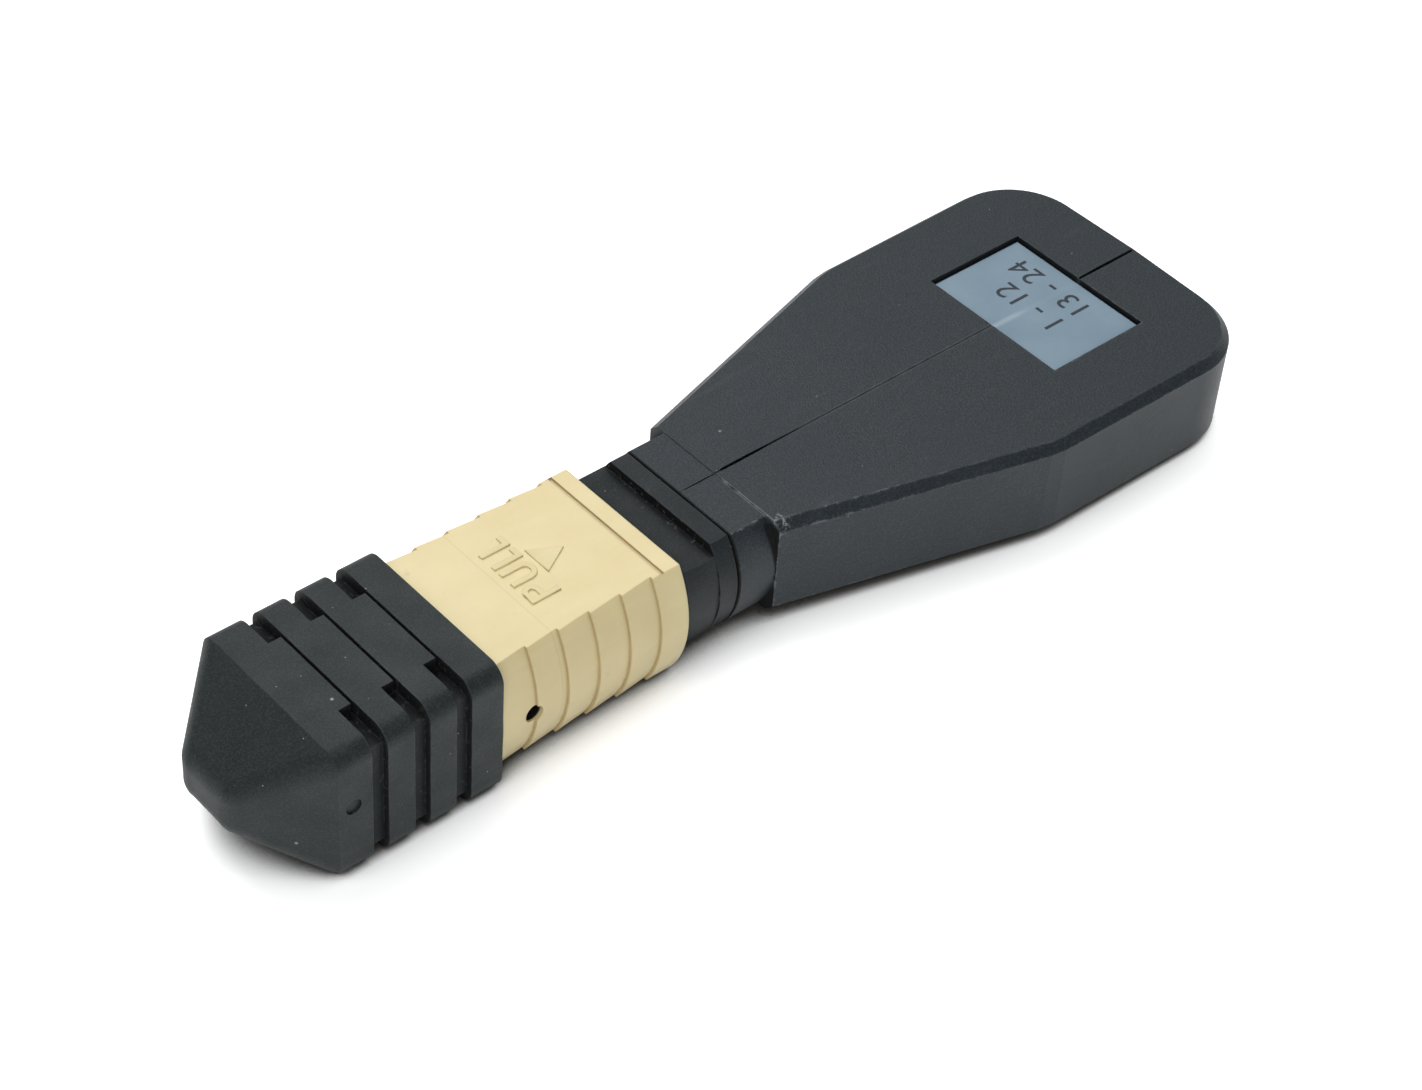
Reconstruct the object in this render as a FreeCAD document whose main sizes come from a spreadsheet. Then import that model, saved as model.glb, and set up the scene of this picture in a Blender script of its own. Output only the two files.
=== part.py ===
import FreeCAD, Part
import math
import os
import re
import Sketcher

# Fibre-optic loopback plug: a 24-fibre multi-fibre connector on a two-part
# body, with its dust cap on.
#
# Every piece is drawn about the connector's own axis: X runs along the plug
# with the nose of the dust cap towards -X, Z is up, and X = 0 is the shoulder
# where the neck meets the wide body. The pieces are then placed so that the
# dust cap stands on Z = 0 and X = 0 is half way along the whole object.

SIZES = (
    # Loopback body, moulded in two halves
    ("body_length", 38.7, "shoulder to rear tip"),
    ("flare_length", 19.3, "shoulder to the end of the flare"),
    ("shoulder_width", 12.3, "body width at the shoulder"),
    ("flare_width", 22.9, "body width at the end of the flare"),
    ("rear_width", 23.4, "body width at the rear"),
    ("body_height", 7.5, "body thickness"),
    ("rear_vee", 0.3, "how far the rear edge points back at the seam"),
    ("rear_corner", 5.5, "plan radius of the rear corners"),
    ("edge_bevel", 0.6, "bevel along the upper and lower edges"),
    ("shell_wall", 1.2, "wall of the hollow body"),
    ("front_wall", 4.0, "solid nose of the body that grips the barrel"),
    ("seam_relief", 0.07, "depth and width of the groove along the seam"),
    ("neck_length", 3.1, "neck in front of the shoulder"),
    ("neck_width", 12.2, "diameter that the neck's sides follow"),
    ("neck_drop", 0.05, "neck surface below the body surface"),
    ("neck_gap", 0.15, "gap between the neck and the flange"),
    ("boss_length", 2.4, "locating boss inside the rear wall"),
    ("boss_width", 2.0, "locating boss, from the seam outwards"),
    ("boss_height", 3.6, "locating boss, top to bottom"),
    ("locator_radius", 0.6, "locating pin"),
    ("locator_length", 1.4, "locating pin beyond the seam"),
    # Label
    ("recess_start", 24.4, "shoulder to the label recess"),
    ("recess_length", 8.3, "label recess along the body"),
    ("recess_width", 11.7, "label recess across the body"),
    ("recess_depth", 0.45, "label recess below the surface"),
    ("label_margin", 0.2, "gap round the label"),
    ("label_thick", 0.15, "label"),
    # Spring push: seat of the ferrule spring, block, flange and barrel
    ("flange_length", 1.4, "flange along the axis"),
    ("flange_width", 12.1, "diameter that the flange's sides follow"),
    ("block_width", 11.9, "block in front of the flange, across the bulge of its sides"),
    ("block_height", 6.1, "block over its flat faces"),
    ("block_flat", 10.5, "width of the block's flat upper and lower faces"),
    ("block_length", 4.0, "flange face to the end of the inner housing"),
    ("tongue_length", 5.1, "tongue inside the inner housing"),
    ("tongue_play", 0.1, "tongue to housing cavity, each side"),
    ("hook_width", 3.6, "latch hooks on the tongue"),
    ("hook_length", 1.4, "latch hooks along the axis"),
    ("hook_height", 0.55, "latch hooks above the tongue"),
    ("hook_set", 1.9, "front of the tongue to the latch hooks"),
    ("window_play", 0.12, "latch window round the hook"),
    ("barrel_length", 7.6, "barrel behind the flange"),
    ("barrel_radius", 2.3, "barrel"),
    ("collar_radius", 2.9, "collar round the barrel"),
    ("collar_length", 1.2, "collar along the axis"),
    ("collar_set", 4.3, "flange to collar"),
    ("grip_play", 0.05, "shell halves to barrel and collar"),
    ("passage_width", 3.5, "fibre passage through the spring push"),
    ("passage_height", 1.2, "fibre passage through the spring push"),
    # Outer sleeve: the coupling that is pulled back to unlatch the plug
    ("sleeve_gap", 3.05, "flange to the sleeve at rest"),
    ("sleeve_length", 14.3, "sleeve along the axis"),
    ("sleeve_width", 13.25, "sleeve across the bulge of its sides"),
    ("sleeve_height", 8.6, "sleeve over its flat faces"),
    ("sleeve_flat", 10.8, "width of the flat upper and lower faces"),
    ("sleeve_travel", 2.3, "how far the sleeve is pulled back in use"),
    ("sleeve_play", 0.15, "block to the wider room in the rear of the sleeve"),
    ("bore_width", 11.1, "bore of the sleeve, across"),
    ("bore_height", 6.4, "bore of the sleeve, top to bottom"),
    ("bore_corner", 0.8, "rounding in the corners of the bore"),
    ("mouth_depth", 2.2, "mouth that takes an adapter's latches"),
    ("mouth_widen", 0.25, "mouth wider than the bore, each side"),
    ("mouth_height", 3.6, "height of the latch room in the mouth"),
    ("rib_pitch", 2.4, "side grip steps"),
    ("rib_depth", 0.2, "side grip steps"),
    ("rib_count", 5, "side grip steps"),
    ("rib_set", 2.1, "rear of the sleeve to the last grip step"),
    ("lip_set", 1.2, "rear of the sleeve to the cross groove"),
    ("lip_groove", 0.28, "width of the cross groove"),
    ("lip_depth", 0.16, "depth of the cross groove"),
    ("peep_radius", 0.62, "round hole in the side of the sleeve"),
    ("peep_set", 2.4, "front of the sleeve to the round hole"),
    ("peep_drop", 0.2, "round hole below the axis"),
    # Sleeve springs, one each side between housing and sleeve
    ("lug_length", 1.8, "lug inside the sleeve that pushes the spring"),
    ("lug_height", 1.3, "lug inside the sleeve"),
    ("lug_play", 0.1, "lug to the spring groove"),
    ("lug_root", 0.2, "lug's root inside the wall of the sleeve"),
    ("groove_height", 1.5, "spring groove in the housing side"),
    ("groove_depth", 0.8, "spring groove in the housing side"),
    ("groove_set", 3.7, "sleeve front to the front of the spring groove"),
    ("groove_length", 7.8, "spring groove along the axis"),
    ("side_coil", 1.1, "outer diameter of the sleeve springs"),
    ("side_wire", 0.2, "wire of the sleeve springs"),
    ("side_turns", 5, "turns of the sleeve springs"),
    ("spring_play", 0.04, "air at each spring end"),
    # Inner housing: carries the ferrule and enters the adapter
    ("housing_reach", 9.1, "housing in front of the sleeve"),
    ("housing_width", 9.5, "housing"),
    ("housing_height", 5.1, "housing"),
    ("housing_edge", 0.35, "rounding along the housing"),
    ("key_width", 3.0, "polarity key on top"),
    ("key_height", 0.65, "polarity key on top"),
    ("key_length", 7.2, "polarity key along the axis"),
    ("key_set", 0.7, "housing front to the key"),
    ("notch_set", 3.3, "housing front to the latch notches"),
    ("notch_length", 2.8, "latch notches in the housing sides"),
    ("notch_depth", 0.6, "latch notches in the housing sides"),
    ("notch_height", 3.4, "latch notches in the housing sides"),
    # Ferrule group
    ("ferrule_length", 8.0, "ferrule"),
    ("ferrule_width", 6.4, "ferrule"),
    ("ferrule_height", 2.5, "ferrule"),
    ("ferrule_reach", 1.0, "ferrule face in front of the housing"),
    ("collar_wide", 7.0, "ferrule collar across"),
    ("collar_high", 3.0, "ferrule collar, top to bottom"),
    ("collar_deep", 2.0, "ferrule collar along the axis"),
    ("ferrule_play", 0.1, "ferrule to the housing, each side"),
    ("seat_play", 0.05, "flat faces that meet across a joint"),
    ("guide_radius", 0.35, "guide pin holes"),
    ("guide_spacing", 4.6, "guide pin holes, centre to centre"),
    ("glue_window_length", 1.6, "adhesive window on top of the ferrule"),
    ("glue_window_width", 3.1, "adhesive window on top of the ferrule"),
    ("glue_window_depth", 0.75, "adhesive window on top of the ferrule"),
    ("glue_window_set", 2.6, "ferrule face to the adhesive window"),
    ("boot_width", 3.6, "ferrule boot"),
    ("boot_height", 1.4, "ferrule boot"),
    ("boot_length", 6.0, "ferrule boot"),
    ("boot_depth", 2.4, "boot inside the ferrule"),
    ("boot_wall", 0.22, "wall of the boot"),
    ("boot_floor", 1.0, "closed front of the boot"),
    ("keeper_length", 2.2, "pin keeper along the axis"),
    ("keeper_width", 6.8, "pin keeper"),
    ("keeper_height", 2.8, "pin keeper"),
    ("main_coil_width", 6.6, "ferrule spring across"),
    ("main_coil_height", 2.8, "ferrule spring, top to bottom"),
    ("main_wire", 0.45, "wire of the ferrule spring"),
    ("main_turns", 5, "turns of the ferrule spring"),
    # Dust cap
    ("cap_width", 13.25, "dust cap"),
    ("cap_height", 10.1, "dust cap"),
    ("cap_corner", 1.25, "rounding along the cap"),
    ("cap_length", 11.75, "mouth to the start of the nose"),
    ("nose_length", 4.8, "tapered nose"),
    ("nose_tip_width", 4.5, "blunt end of the nose, across"),
    ("nose_tip_height", 3.2, "blunt end of the nose, top to bottom"),
    ("nose_tip_corner", 1.1, "corners of the blunt end"),
    ("nose_tip_round", 1.8, "rounding of the blunt end into the taper"),
    ("ring_set", 2.3, "mouth to the first groove"),
    ("ring_pitch", 3.0, "spacing of the grooves"),
    ("ring_count", 3, "grooves round the cap"),
    ("ring_gap", 1.1, "width of a groove"),
    ("ring_depth_side", 0.5, "groove depth on the sides"),
    ("ring_depth_top", 1.0, "groove depth on top and below"),
    ("web_width", 6.8, "filled middle of the grooves"),
    ("slit_width", 0.2, "slit left beside the filled middle"),
    ("cap_play", 0.1, "cap to the inner housing, each side"),
    ("cap_depth", 11.3, "main hollow of the cap"),
    ("pin_room_depth", 2.2, "deeper hollow in front of the ferrule"),
    ("pin_room_width", 6.8, "deeper hollow in front of the ferrule"),
    ("pin_room_height", 3.0, "deeper hollow in front of the ferrule"),
    ("gate_radius", 0.55, "moulding gate mark on the side"),
    ("gate_depth", 0.15, "moulding gate mark on the side"),
    ("gate_set", 1.0, "start of the nose to the gate mark"),
    ("gate_rise", 0.7, "gate mark above the axis"),
    # Fibre loops
    ("fibre_diameter", 0.22, "coated fibre"),
    ("fibre_pitch", 0.25, "fibre spacing in the ribbon"),
    ("row_spacing", 0.5, "distance between the two rows of fibres"),
    ("loop_play", 2.4, "outermost loop to the locating boss"),
    ("loop_radius", 8.2, "radius of the outermost loop"),
    ("loop_step", 0.45, "radius from one loop to the next"),
    ("loops_per_row", 6, "loops in one row"),
    ("lead_radius", 15.0, "bend where a fibre leaves the ribbon"),
    ("lead_angle", 35.0, "how far that bend turns, in degrees"),
    ("float_travel", 0.8, "how far the ferrule is pushed back in use"),
    ("fibre_setback", 0.3, "fibre end to the boot floor with the ferrule back"),
)

doc = FreeCAD.newDocument("loopback_plug")
sheet = doc.addObject("Spreadsheet::Sheet", "Sizes")
for row, (alias, number, note) in enumerate(SIZES, start=1):
    sheet.set(f"A{row}", note)
    sheet.set(f"B{row}", str(number))
    sheet.setAlias(f"B{row}", alias)
doc.recompute()

ALIAS = re.compile(r"\b(" + "|".join(alias for alias, _, _ in SIZES) + r")\b")


def bound(text):
    """The expression as document objects read it, with the sheet's name."""
    return ALIAS.sub(r"Sizes.\1", text)


def size(text):
    """The present value of an expression written in the sheet's words."""
    return float(sheet.evalExpression(text))


def half(text, sign=1):
    """Half of a size, on the plus or the minus side."""
    return f"{sign} * ({text}) / 2"


# Stations along the axis, all measured from the shoulder.
FLANGE_REAR = "-neck_length"
FLANGE_FRONT = f"({FLANGE_REAR} - flange_length)"
BLOCK_FRONT = f"({FLANGE_FRONT} - block_length)"
TONGUE_FRONT = f"({BLOCK_FRONT} - tongue_length)"
BARREL_REAR = f"({FLANGE_REAR} + barrel_length)"
SLEEVE_REAR = f"({FLANGE_FRONT} - sleeve_gap)"
SLEEVE_FRONT = f"({SLEEVE_REAR} - sleeve_length)"
GROOVE_FRONT = f"({SLEEVE_FRONT} + groove_set)"
GROOVE_REAR = f"({GROOVE_FRONT} + groove_length)"
LUG_FRONT = f"({GROOVE_FRONT} + seat_play)"
LUG_REAR = f"({LUG_FRONT} + lug_length)"
HOUSING_FRONT = f"({SLEEVE_FRONT} - housing_reach)"
FERRULE_FACE = f"({HOUSING_FRONT} - ferrule_reach)"
FERRULE_REAR = f"({FERRULE_FACE} + ferrule_length)"
COLLAR_FRONT = f"({FERRULE_REAR} - collar_deep)"
COLLAR_SEAT = f"({COLLAR_FRONT} - seat_play)"
KEEPER_REAR = f"({FERRULE_REAR} + keeper_length)"
BOOT_FRONT = f"({FERRULE_REAR} - boot_depth)"
BOOT_REAR = f"({BOOT_FRONT} + boot_length)"
CAP_MOUTH = f"({SLEEVE_FRONT} - seat_play)"
NOSE_START = f"({CAP_MOUTH} - cap_length)"
NOSE_TIP = f"({NOSE_START} - nose_length)"
REAR_EDGE = "(body_length - rear_vee)"
BOSS_REAR = f"({REAR_EDGE} - shell_wall)"
BOSS_FRONT = f"({BOSS_REAR} - boss_length)"

# The connector's axis in the finished frame.
AXIS_X = f"-(body_length + {NOSE_TIP}) / 2"
AXIS_Z = "cap_height / 2"

PIECES = []


def place(piece, label):
    """Label a finished sub-part and set it on the connector's axis."""
    piece.Label = label
    piece.Placement = FreeCAD.Placement(FreeCAD.Vector(size(AXIS_X), 0, size(AXIS_Z)), FreeCAD.Rotation())
    if piece.isDerivedFrom("PartDesign::Body"):
        piece.setExpression(".Placement.Base.x", bound(AXIS_X))
        piece.setExpression(".Placement.Base.z", bound(AXIS_Z))
    PIECES.append(piece)


# --- Drawing -----------------------------------------------------------------

def sketch_on(body, name, role, offset):
    """Empty sketch on one of the body's own origin planes, moved along its normal."""
    sketch = body.newObject("Sketcher::SketchObject", name)
    plane = next(p for p in body.Origin.OriginFeatures if p.Role == role)
    sketch.AttachmentSupport = [(plane, "")]
    sketch.MapMode = "FlatFace"
    sketch.AttachmentOffset = FreeCAD.Placement(FreeCAD.Vector(0, 0, size(offset)), FreeCAD.Rotation())
    sketch.setExpression(".AttachmentOffset.Base.z", bound(offset))
    return sketch


def pin_point(sketch, geometry, end, across, up):
    """Hold one point of the sketch at a place written in the sheet's words."""
    for kind, text, axis in (("DistanceX", across, -2), ("DistanceY", up, -1)):
        if text == "0":
            sketch.addConstraint(Sketcher.Constraint("PointOnObject", geometry, end, axis))
            continue
        index = sketch.addConstraint(Sketcher.Constraint(kind, -1, 1, geometry, end, size(text)))
        sketch.setExpression(f"Constraints[{index}]", bound(text))


def outline(*corners):
    """Closed outline through the corners; a corner with a third word is reached by an arc of that radius."""
    def draw(sketch):
        first = sketch.GeometryCount
        count = len(corners)
        points = [FreeCAD.Vector(size(corner[0]), size(corner[1]), 0) for corner in corners]
        for i in range(count):
            begin, finish, reached = points[i], points[(i + 1) % count], corners[(i + 1) % count]
            if len(reached) == 2:
                sketch.addGeometry(Part.LineSegment(begin, finish))
                continue
            chord = finish - begin
            radius = size(reached[2])
            bulge = radius - math.sqrt(radius ** 2 - (chord.Length / 2) ** 2)
            outward = FreeCAD.Vector(chord.y, -chord.x, 0).normalize()
            side = sketch.addGeometry(Part.Arc(begin, (begin + finish) / 2 + outward * bulge, finish))
            held = sketch.addConstraint(Sketcher.Constraint("Radius", side, radius))
            sketch.setExpression(f"Constraints[{held}]", bound(reached[2]))
        for i in range(count):
            following = first + (i + 1) % count
            sketch.addConstraint(Sketcher.Constraint("Coincident", first + i, 2, following, 1))
        for i, corner in enumerate(corners):
            pin_point(sketch, first + i, 1, corner[0], corner[1])
    return draw


def rectangle(left, right, low, high):
    """Rectangle between two places across and two places up."""
    return outline((left, low), (right, low), (right, high), (left, high))


def centred(width, height):
    """Rectangle centred on the axis."""
    return rectangle(half(width, -1), half(width), half(height, -1), half(height))


def circle(across, up, radius):
    """Circle about a given centre."""
    def draw(sketch):
        centre = FreeCAD.Vector(size(across), size(up), 0)
        index = sketch.addGeometry(Part.Circle(centre, FreeCAD.Vector(0, 0, 1), size(radius)))
        pin_point(sketch, index, 3, across, up)
        held = sketch.addConstraint(Sketcher.Constraint("Radius", index, size(radius)))
        sketch.setExpression(f"Constraints[{held}]", bound(radius))
    return draw


def rounded(width, height, bend):
    """Rectangle centred on the axis with its four corners rounded."""
    wide, high = f"(({width}) / 2)", f"(({height}) / 2)"
    flat_x, flat_y = f"({wide} - {bend})", f"({high} - {bend})"
    return outline((flat_x, f"-{high}"), (wide, f"-{flat_y}", bend), (wide, flat_y),
                   (flat_x, high, bend), (f"-{flat_x}", high), (f"-{wide}", flat_y, bend),
                   (f"-{wide}", f"-{flat_y}"), (f"-{flat_x}", f"-{high}", bend))


def bulged(width, height, flat):
    """Flat above and below, with sides that bulge out from the flats."""
    bulge = f"((({width}) - ({flat})) / 2)"
    radius = f"(((({height}) / 2)^2 + {bulge}^2) / (2 * {bulge}))"
    level, high = f"(({flat}) / 2)", f"(({height}) / 2)"
    return outline((level, f"-{high}"), (level, high, radius), (f"-{level}", high),
                   (f"-{level}", f"-{high}", radius))


def cut_round(diameter, height):
    """Circle on the axis cut off flat above and below."""
    flat = f"(2 * sqrt(({diameter})^2 / 4 - ({height})^2 / 4))"
    return bulged(diameter, height, flat)


# --- Solid features ----------------------------------------------------------

# Cutters reach this far past the surface that they open.
PAST = "0.5"
HALF_TURN = 180


def must_cut(feature, before):
    """A cut that removes nothing is a mistake in its place or direction."""
    doc.recompute()
    if feature.Shape.Volume > before - 1e-6:
        raise ValueError(f"{feature.Name} removes nothing")


def pad(body, name, role, start, stop, *outlines):
    """Material between two stations along the normal of an origin plane."""
    sketch = sketch_on(body, name + "_outline", role, start)
    for draw in outlines:
        draw(sketch)
    feature = body.newObject("PartDesign::Pad", name)
    feature.Profile = sketch
    feature.Length = size(f"{stop} - {start}")
    feature.setExpression("Length", bound(f"{stop} - {start}"))
    doc.recompute()
    return feature


def pocket(body, name, role, start, stop, *outlines):
    """Cut between two stations along the normal of an origin plane."""
    before = body.Shape.Volume
    sketch = sketch_on(body, name + "_outline", role, start)
    for draw in outlines:
        draw(sketch)
    feature = body.newObject("PartDesign::Pocket", name)
    feature.Profile = sketch
    feature.Reversed = True
    feature.Length = size(f"{stop} - {start}")
    feature.setExpression("Length", bound(f"{stop} - {start}"))
    must_cut(feature, before)
    return feature


def repeat(body, name, features, spacing, count):
    """The same features again and again along the connector's axis."""
    pattern = body.newObject("PartDesign::LinearPattern", name)
    pattern.Originals = features
    line = next(a for a in body.Origin.OriginFeatures if a.Role == "X_Axis")
    pattern.Direction = (line, [""])
    pattern.Mode = "Spacing"
    pattern.Offset = size(spacing)
    pattern.setExpression("Offset", bound(spacing))
    pattern.Occurrences = int(size(count))
    pattern.setExpression("Occurrences", bound(count))
    body.Tip = pattern
    doc.recompute()
    return pattern


def trim_edges(body, name, kind, measure, amount, chosen):
    """Round or bevel the edges of the body's last feature that the test picks."""
    base = body.Tip
    names = [f"Edge{i}" for i, edge in enumerate(base.Shape.Edges, start=1) if chosen(edge)]
    if not names:
        raise ValueError(f"{name} finds no edge")
    feature = body.newObject(kind, name)
    feature.Base = (base, names)
    setattr(feature, measure, size(amount))
    feature.setExpression(measure, bound(amount))
    doc.recompute()
    return feature


def soften(body, name, radius, chosen):
    """Round chosen edges."""
    return trim_edges(body, name, "PartDesign::Fillet", "Radius", radius, chosen)


def bevel(body, name, leg, chosen):
    """Cut chosen edges off at 45 degrees."""
    return trim_edges(body, name, "PartDesign::Chamfer", "Size", leg, chosen)


def runs_along_x(edge):
    """Straight edge along the connector's axis."""
    if not isinstance(edge.Curve, Part.Line):
        return False
    return abs(edge.Curve.Direction.x) > 0.999


def near(value, text):
    """Whether a coordinate lies on a station."""
    return abs(value - size(text)) < 1e-4


def new_body(name):
    """Empty body for one moulded or machined piece."""
    return doc.addObject("PartDesign::Body", name)


# --- Dust cap ----------------------------------------------------------------

def dust_cap():
    """One moulded cap: ribbed sleeve, tapered nose and a hollow for the plug's end."""
    body = new_body("DustCap")
    pad(body, "RibbedSleeve", "YZ_Plane", NOSE_START, CAP_MOUTH,
        rounded("cap_width", "cap_height", "cap_corner"))
    root = sketch_on(body, "NoseRoot", "YZ_Plane", NOSE_START)
    rounded("cap_width", "cap_height", "cap_corner")(root)
    tip = sketch_on(body, "NoseTip", "YZ_Plane", NOSE_TIP)
    rounded("nose_tip_width", "nose_tip_height", "nose_tip_corner")(tip)
    nose = body.newObject("PartDesign::AdditiveLoft", "Nose")
    nose.Profile = root
    nose.Sections = [tip]
    nose.Ruled = True
    doc.recompute()
    soften(body, "NoseRound", "nose_tip_round", lambda edge: all(near(v.X, NOSE_TIP) for v in edge.Vertexes))

    groove_rear = f"({CAP_MOUTH} - ring_set - (ring_count - 1) * ring_pitch)"
    groove_front = f"({groove_rear} - ring_gap)"
    outer_y = f"(cap_width / 2 + {PAST})"
    outer_z = f"(cap_height / 2 + {PAST})"
    core_y = "(cap_width / 2 - ring_depth_side)"
    core_z = "(cap_height / 2 - ring_depth_top)"
    web = "(web_width / 2)"
    around = []
    for side in ("", "-"):
        around.append(outline(
            (f"{side}{web}", outer_z), (f"{side}{outer_y}", outer_z),
            (f"{side}{outer_y}", f"-{outer_z}"), (f"{side}{web}", f"-{outer_z}"),
            (f"{side}{web}", f"-{core_z}"), (f"{side}{core_y}", f"-{core_z}"),
            (f"{side}{core_y}", core_z), (f"{side}{web}", core_z)))
    groove = pocket(body, "Groove", "YZ_Plane", groove_front, groove_rear, *around)
    slit = pocket(body, "Slit", "YZ_Plane", f"({groove_rear} - slit_width)", groove_rear,
                  rectangle(f"-{web}", web, core_z, outer_z),
                  rectangle(f"-{web}", web, f"-{outer_z}", f"-{core_z}"))
    repeat(body, "Grooves", [groove, slit], "ring_pitch", "ring_count")

    hollow_y = "(housing_width / 2 + cap_play)"
    hollow_z = "(housing_height / 2 + cap_play)"
    key_y = "(key_width / 2 + cap_play)"
    key_z = "(housing_height / 2 + key_height + cap_play)"
    hollow_front = f"({CAP_MOUTH} - cap_depth)"
    pocket(body, "Hollow", "YZ_Plane", hollow_front, CAP_MOUTH,
           outline((f"-{hollow_y}", f"-{hollow_z}"), (hollow_y, f"-{hollow_z}"), (hollow_y, hollow_z),
                   (key_y, hollow_z), (key_y, key_z), (f"-{key_y}", key_z),
                   (f"-{key_y}", hollow_z), (f"-{hollow_y}", hollow_z)))
    pocket(body, "PinRoom", "YZ_Plane", f"({hollow_front} - pin_room_depth)", hollow_front,
           centred("pin_room_width", "pin_room_height"))
    pocket(body, "GateMark", "XZ_Plane", "(cap_width / 2 - gate_depth)", "(cap_width / 2)",
           circle(f"({NOSE_START} + gate_set)", "gate_rise", "gate_radius"))
    place(body, "dust_cap")


# --- Outer sleeve ------------------------------------------------------------

def outer_sleeve():
    """Sliding sleeve: flat above and below, bulged and stepped sides, hollow through."""
    body = new_body("OuterSleeve")
    pad(body, "Outside", "YZ_Plane", SLEEVE_FRONT, SLEEVE_REAR,
        bulged("sleeve_width", "sleeve_height", "sleeve_flat"))
    pocket(body, "Bore", "YZ_Plane", SLEEVE_FRONT, SLEEVE_REAR,
           rounded("bore_width", "bore_height", "bore_corner"))
    pocket(body, "BlockRoom", "YZ_Plane", f"({BLOCK_FRONT} - sleeve_travel - sleeve_play)", SLEEVE_REAR,
           bulged("block_width + 2 * sleeve_play", "block_height + 2 * sleeve_play",
                  "block_flat + 2 * sleeve_play"))
    pocket(body, "LatchRoom", "YZ_Plane", SLEEVE_FRONT, f"({SLEEVE_FRONT} + mouth_depth)",
           centred("bore_width + 2 * mouth_widen", "mouth_height"))

    bulge = "((sleeve_width - sleeve_flat) / 2)"
    radius = f"(((sleeve_height / 2)^2 + {bulge}^2) / (2 * {bulge}))"
    centre = f"(sleeve_width / 2 - {radius})"
    step_rear = f"({SLEEVE_REAR} - rib_set - (rib_count - 1) * rib_pitch)"
    step_front = f"({step_rear} - rib_pitch)"
    # A side's arc is shorter than a half turn, so the cut also clears its ends at the flats.
    for side, sign in (("Left", ""), ("Right", "-")):
        sketch = sketch_on(body, side + "Step_outline", "XY_Plane", "0")
        sketch.setExpression(".AttachmentOffset.Base.y", bound(f"{sign}{centre}"))
        doc.recompute()
        outline((step_front, f"{sign}{radius}"), (step_rear, f"{sign}({radius} - rib_depth)"),
                (step_rear, f"{sign}({radius} + {PAST})"), (step_front, f"{sign}({radius} + {PAST})"))(sketch)
        before = body.Shape.Volume
        step = body.newObject("PartDesign::Groove", side + "Step")
        step.Profile = sketch
        step.ReferenceAxis = (sketch, ["H_Axis"])
        step.Midplane = True
        step.Angle = HALF_TURN
        must_cut(step, before)
        repeat(body, side + "Steps", [step], "rib_pitch", "rib_count")

    groove_rear = f"({SLEEVE_REAR} - lip_set)"
    groove_front = f"({groove_rear} - lip_groove)"
    face = "(sleeve_height / 2)"
    across = rectangle(groove_front, groove_rear, "-sleeve_flat / 2", "sleeve_flat / 2")
    pocket(body, "UpperCrossGroove", "XY_Plane", f"({face} - lip_depth)", face, across)
    pocket(body, "LowerCrossGroove", "XY_Plane", f"-{face}", f"(lip_depth - {face})", across)
    pocket(body, "PeepHole", "XZ_Plane", "(bore_width / 2)", f"(sleeve_width / 2 + {PAST})",
           circle(f"({SLEEVE_FRONT} + peep_set)", "-peep_drop", "peep_radius"))

    lug_inner = "(housing_width / 2 - groove_depth + lug_play)"
    lug_outer = "(bore_width / 2 + lug_root)"
    pad(body, "SpringLugs", "YZ_Plane", LUG_FRONT, LUG_REAR,
        rectangle(lug_inner, lug_outer, half("lug_height", -1), half("lug_height")),
        rectangle(f"-{lug_outer}", f"-{lug_inner}", half("lug_height", -1), half("lug_height")))
    place(body, "outer_sleeve")


# --- Inner housing -----------------------------------------------------------

CAVITY_WIDTH = "(collar_wide + 2 * ferrule_play)"
CAVITY_HEIGHT = "(collar_high + 2 * ferrule_play)"
HOOK_FRONT = f"({TONGUE_FRONT} + hook_set)"
HOOK_REAR = f"({HOOK_FRONT} + hook_length)"


def inner_housing():
    """Plug frame: holds the ferrule, guides the sleeve and enters the adapter."""
    body = new_body("InnerHousing")
    pad(body, "Frame", "YZ_Plane", HOUSING_FRONT, BLOCK_FRONT, centred("housing_width", "housing_height"))
    soften(body, "FrameRounds", "housing_edge", runs_along_x)
    key_front = f"({HOUSING_FRONT} + key_set)"
    pad(body, "Key", "YZ_Plane", key_front, f"({key_front} + key_length)",
        rectangle(half("key_width", -1), half("key_width"), "housing_height / 2 - key_height",
                  "housing_height / 2 + key_height"))
    pocket(body, "FerrulePassage", "YZ_Plane", HOUSING_FRONT, BLOCK_FRONT,
           centred("ferrule_width + 2 * ferrule_play", "ferrule_height + 2 * ferrule_play"))
    pocket(body, "SpringChamber", "YZ_Plane", COLLAR_SEAT, BLOCK_FRONT, centred(CAVITY_WIDTH, CAVITY_HEIGHT))

    def both_sides(depth, height):
        inner = f"(housing_width / 2 - {depth})"
        outer = f"(housing_width / 2 + {PAST})"
        return (rectangle(inner, outer, half(height, -1), half(height)),
                rectangle(f"-{outer}", f"-{inner}", half(height, -1), half(height)))

    notch_front = f"({HOUSING_FRONT} + notch_set)"
    pocket(body, "LatchNotches", "YZ_Plane", notch_front, f"({notch_front} + notch_length)",
           *both_sides("notch_depth", "notch_height"))
    pocket(body, "SpringGrooves", "YZ_Plane", GROOVE_FRONT, GROOVE_REAR,
           *both_sides("groove_depth", "groove_height"))
    pocket(body, "HookWindows", "YZ_Plane", f"({HOOK_FRONT} - window_play)", f"({HOOK_REAR} + window_play)",
           centred("hook_width + 2 * window_play", f"housing_height + 2 * {PAST}"))
    place(body, "inner_housing")


# --- Spring push -------------------------------------------------------------

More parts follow.
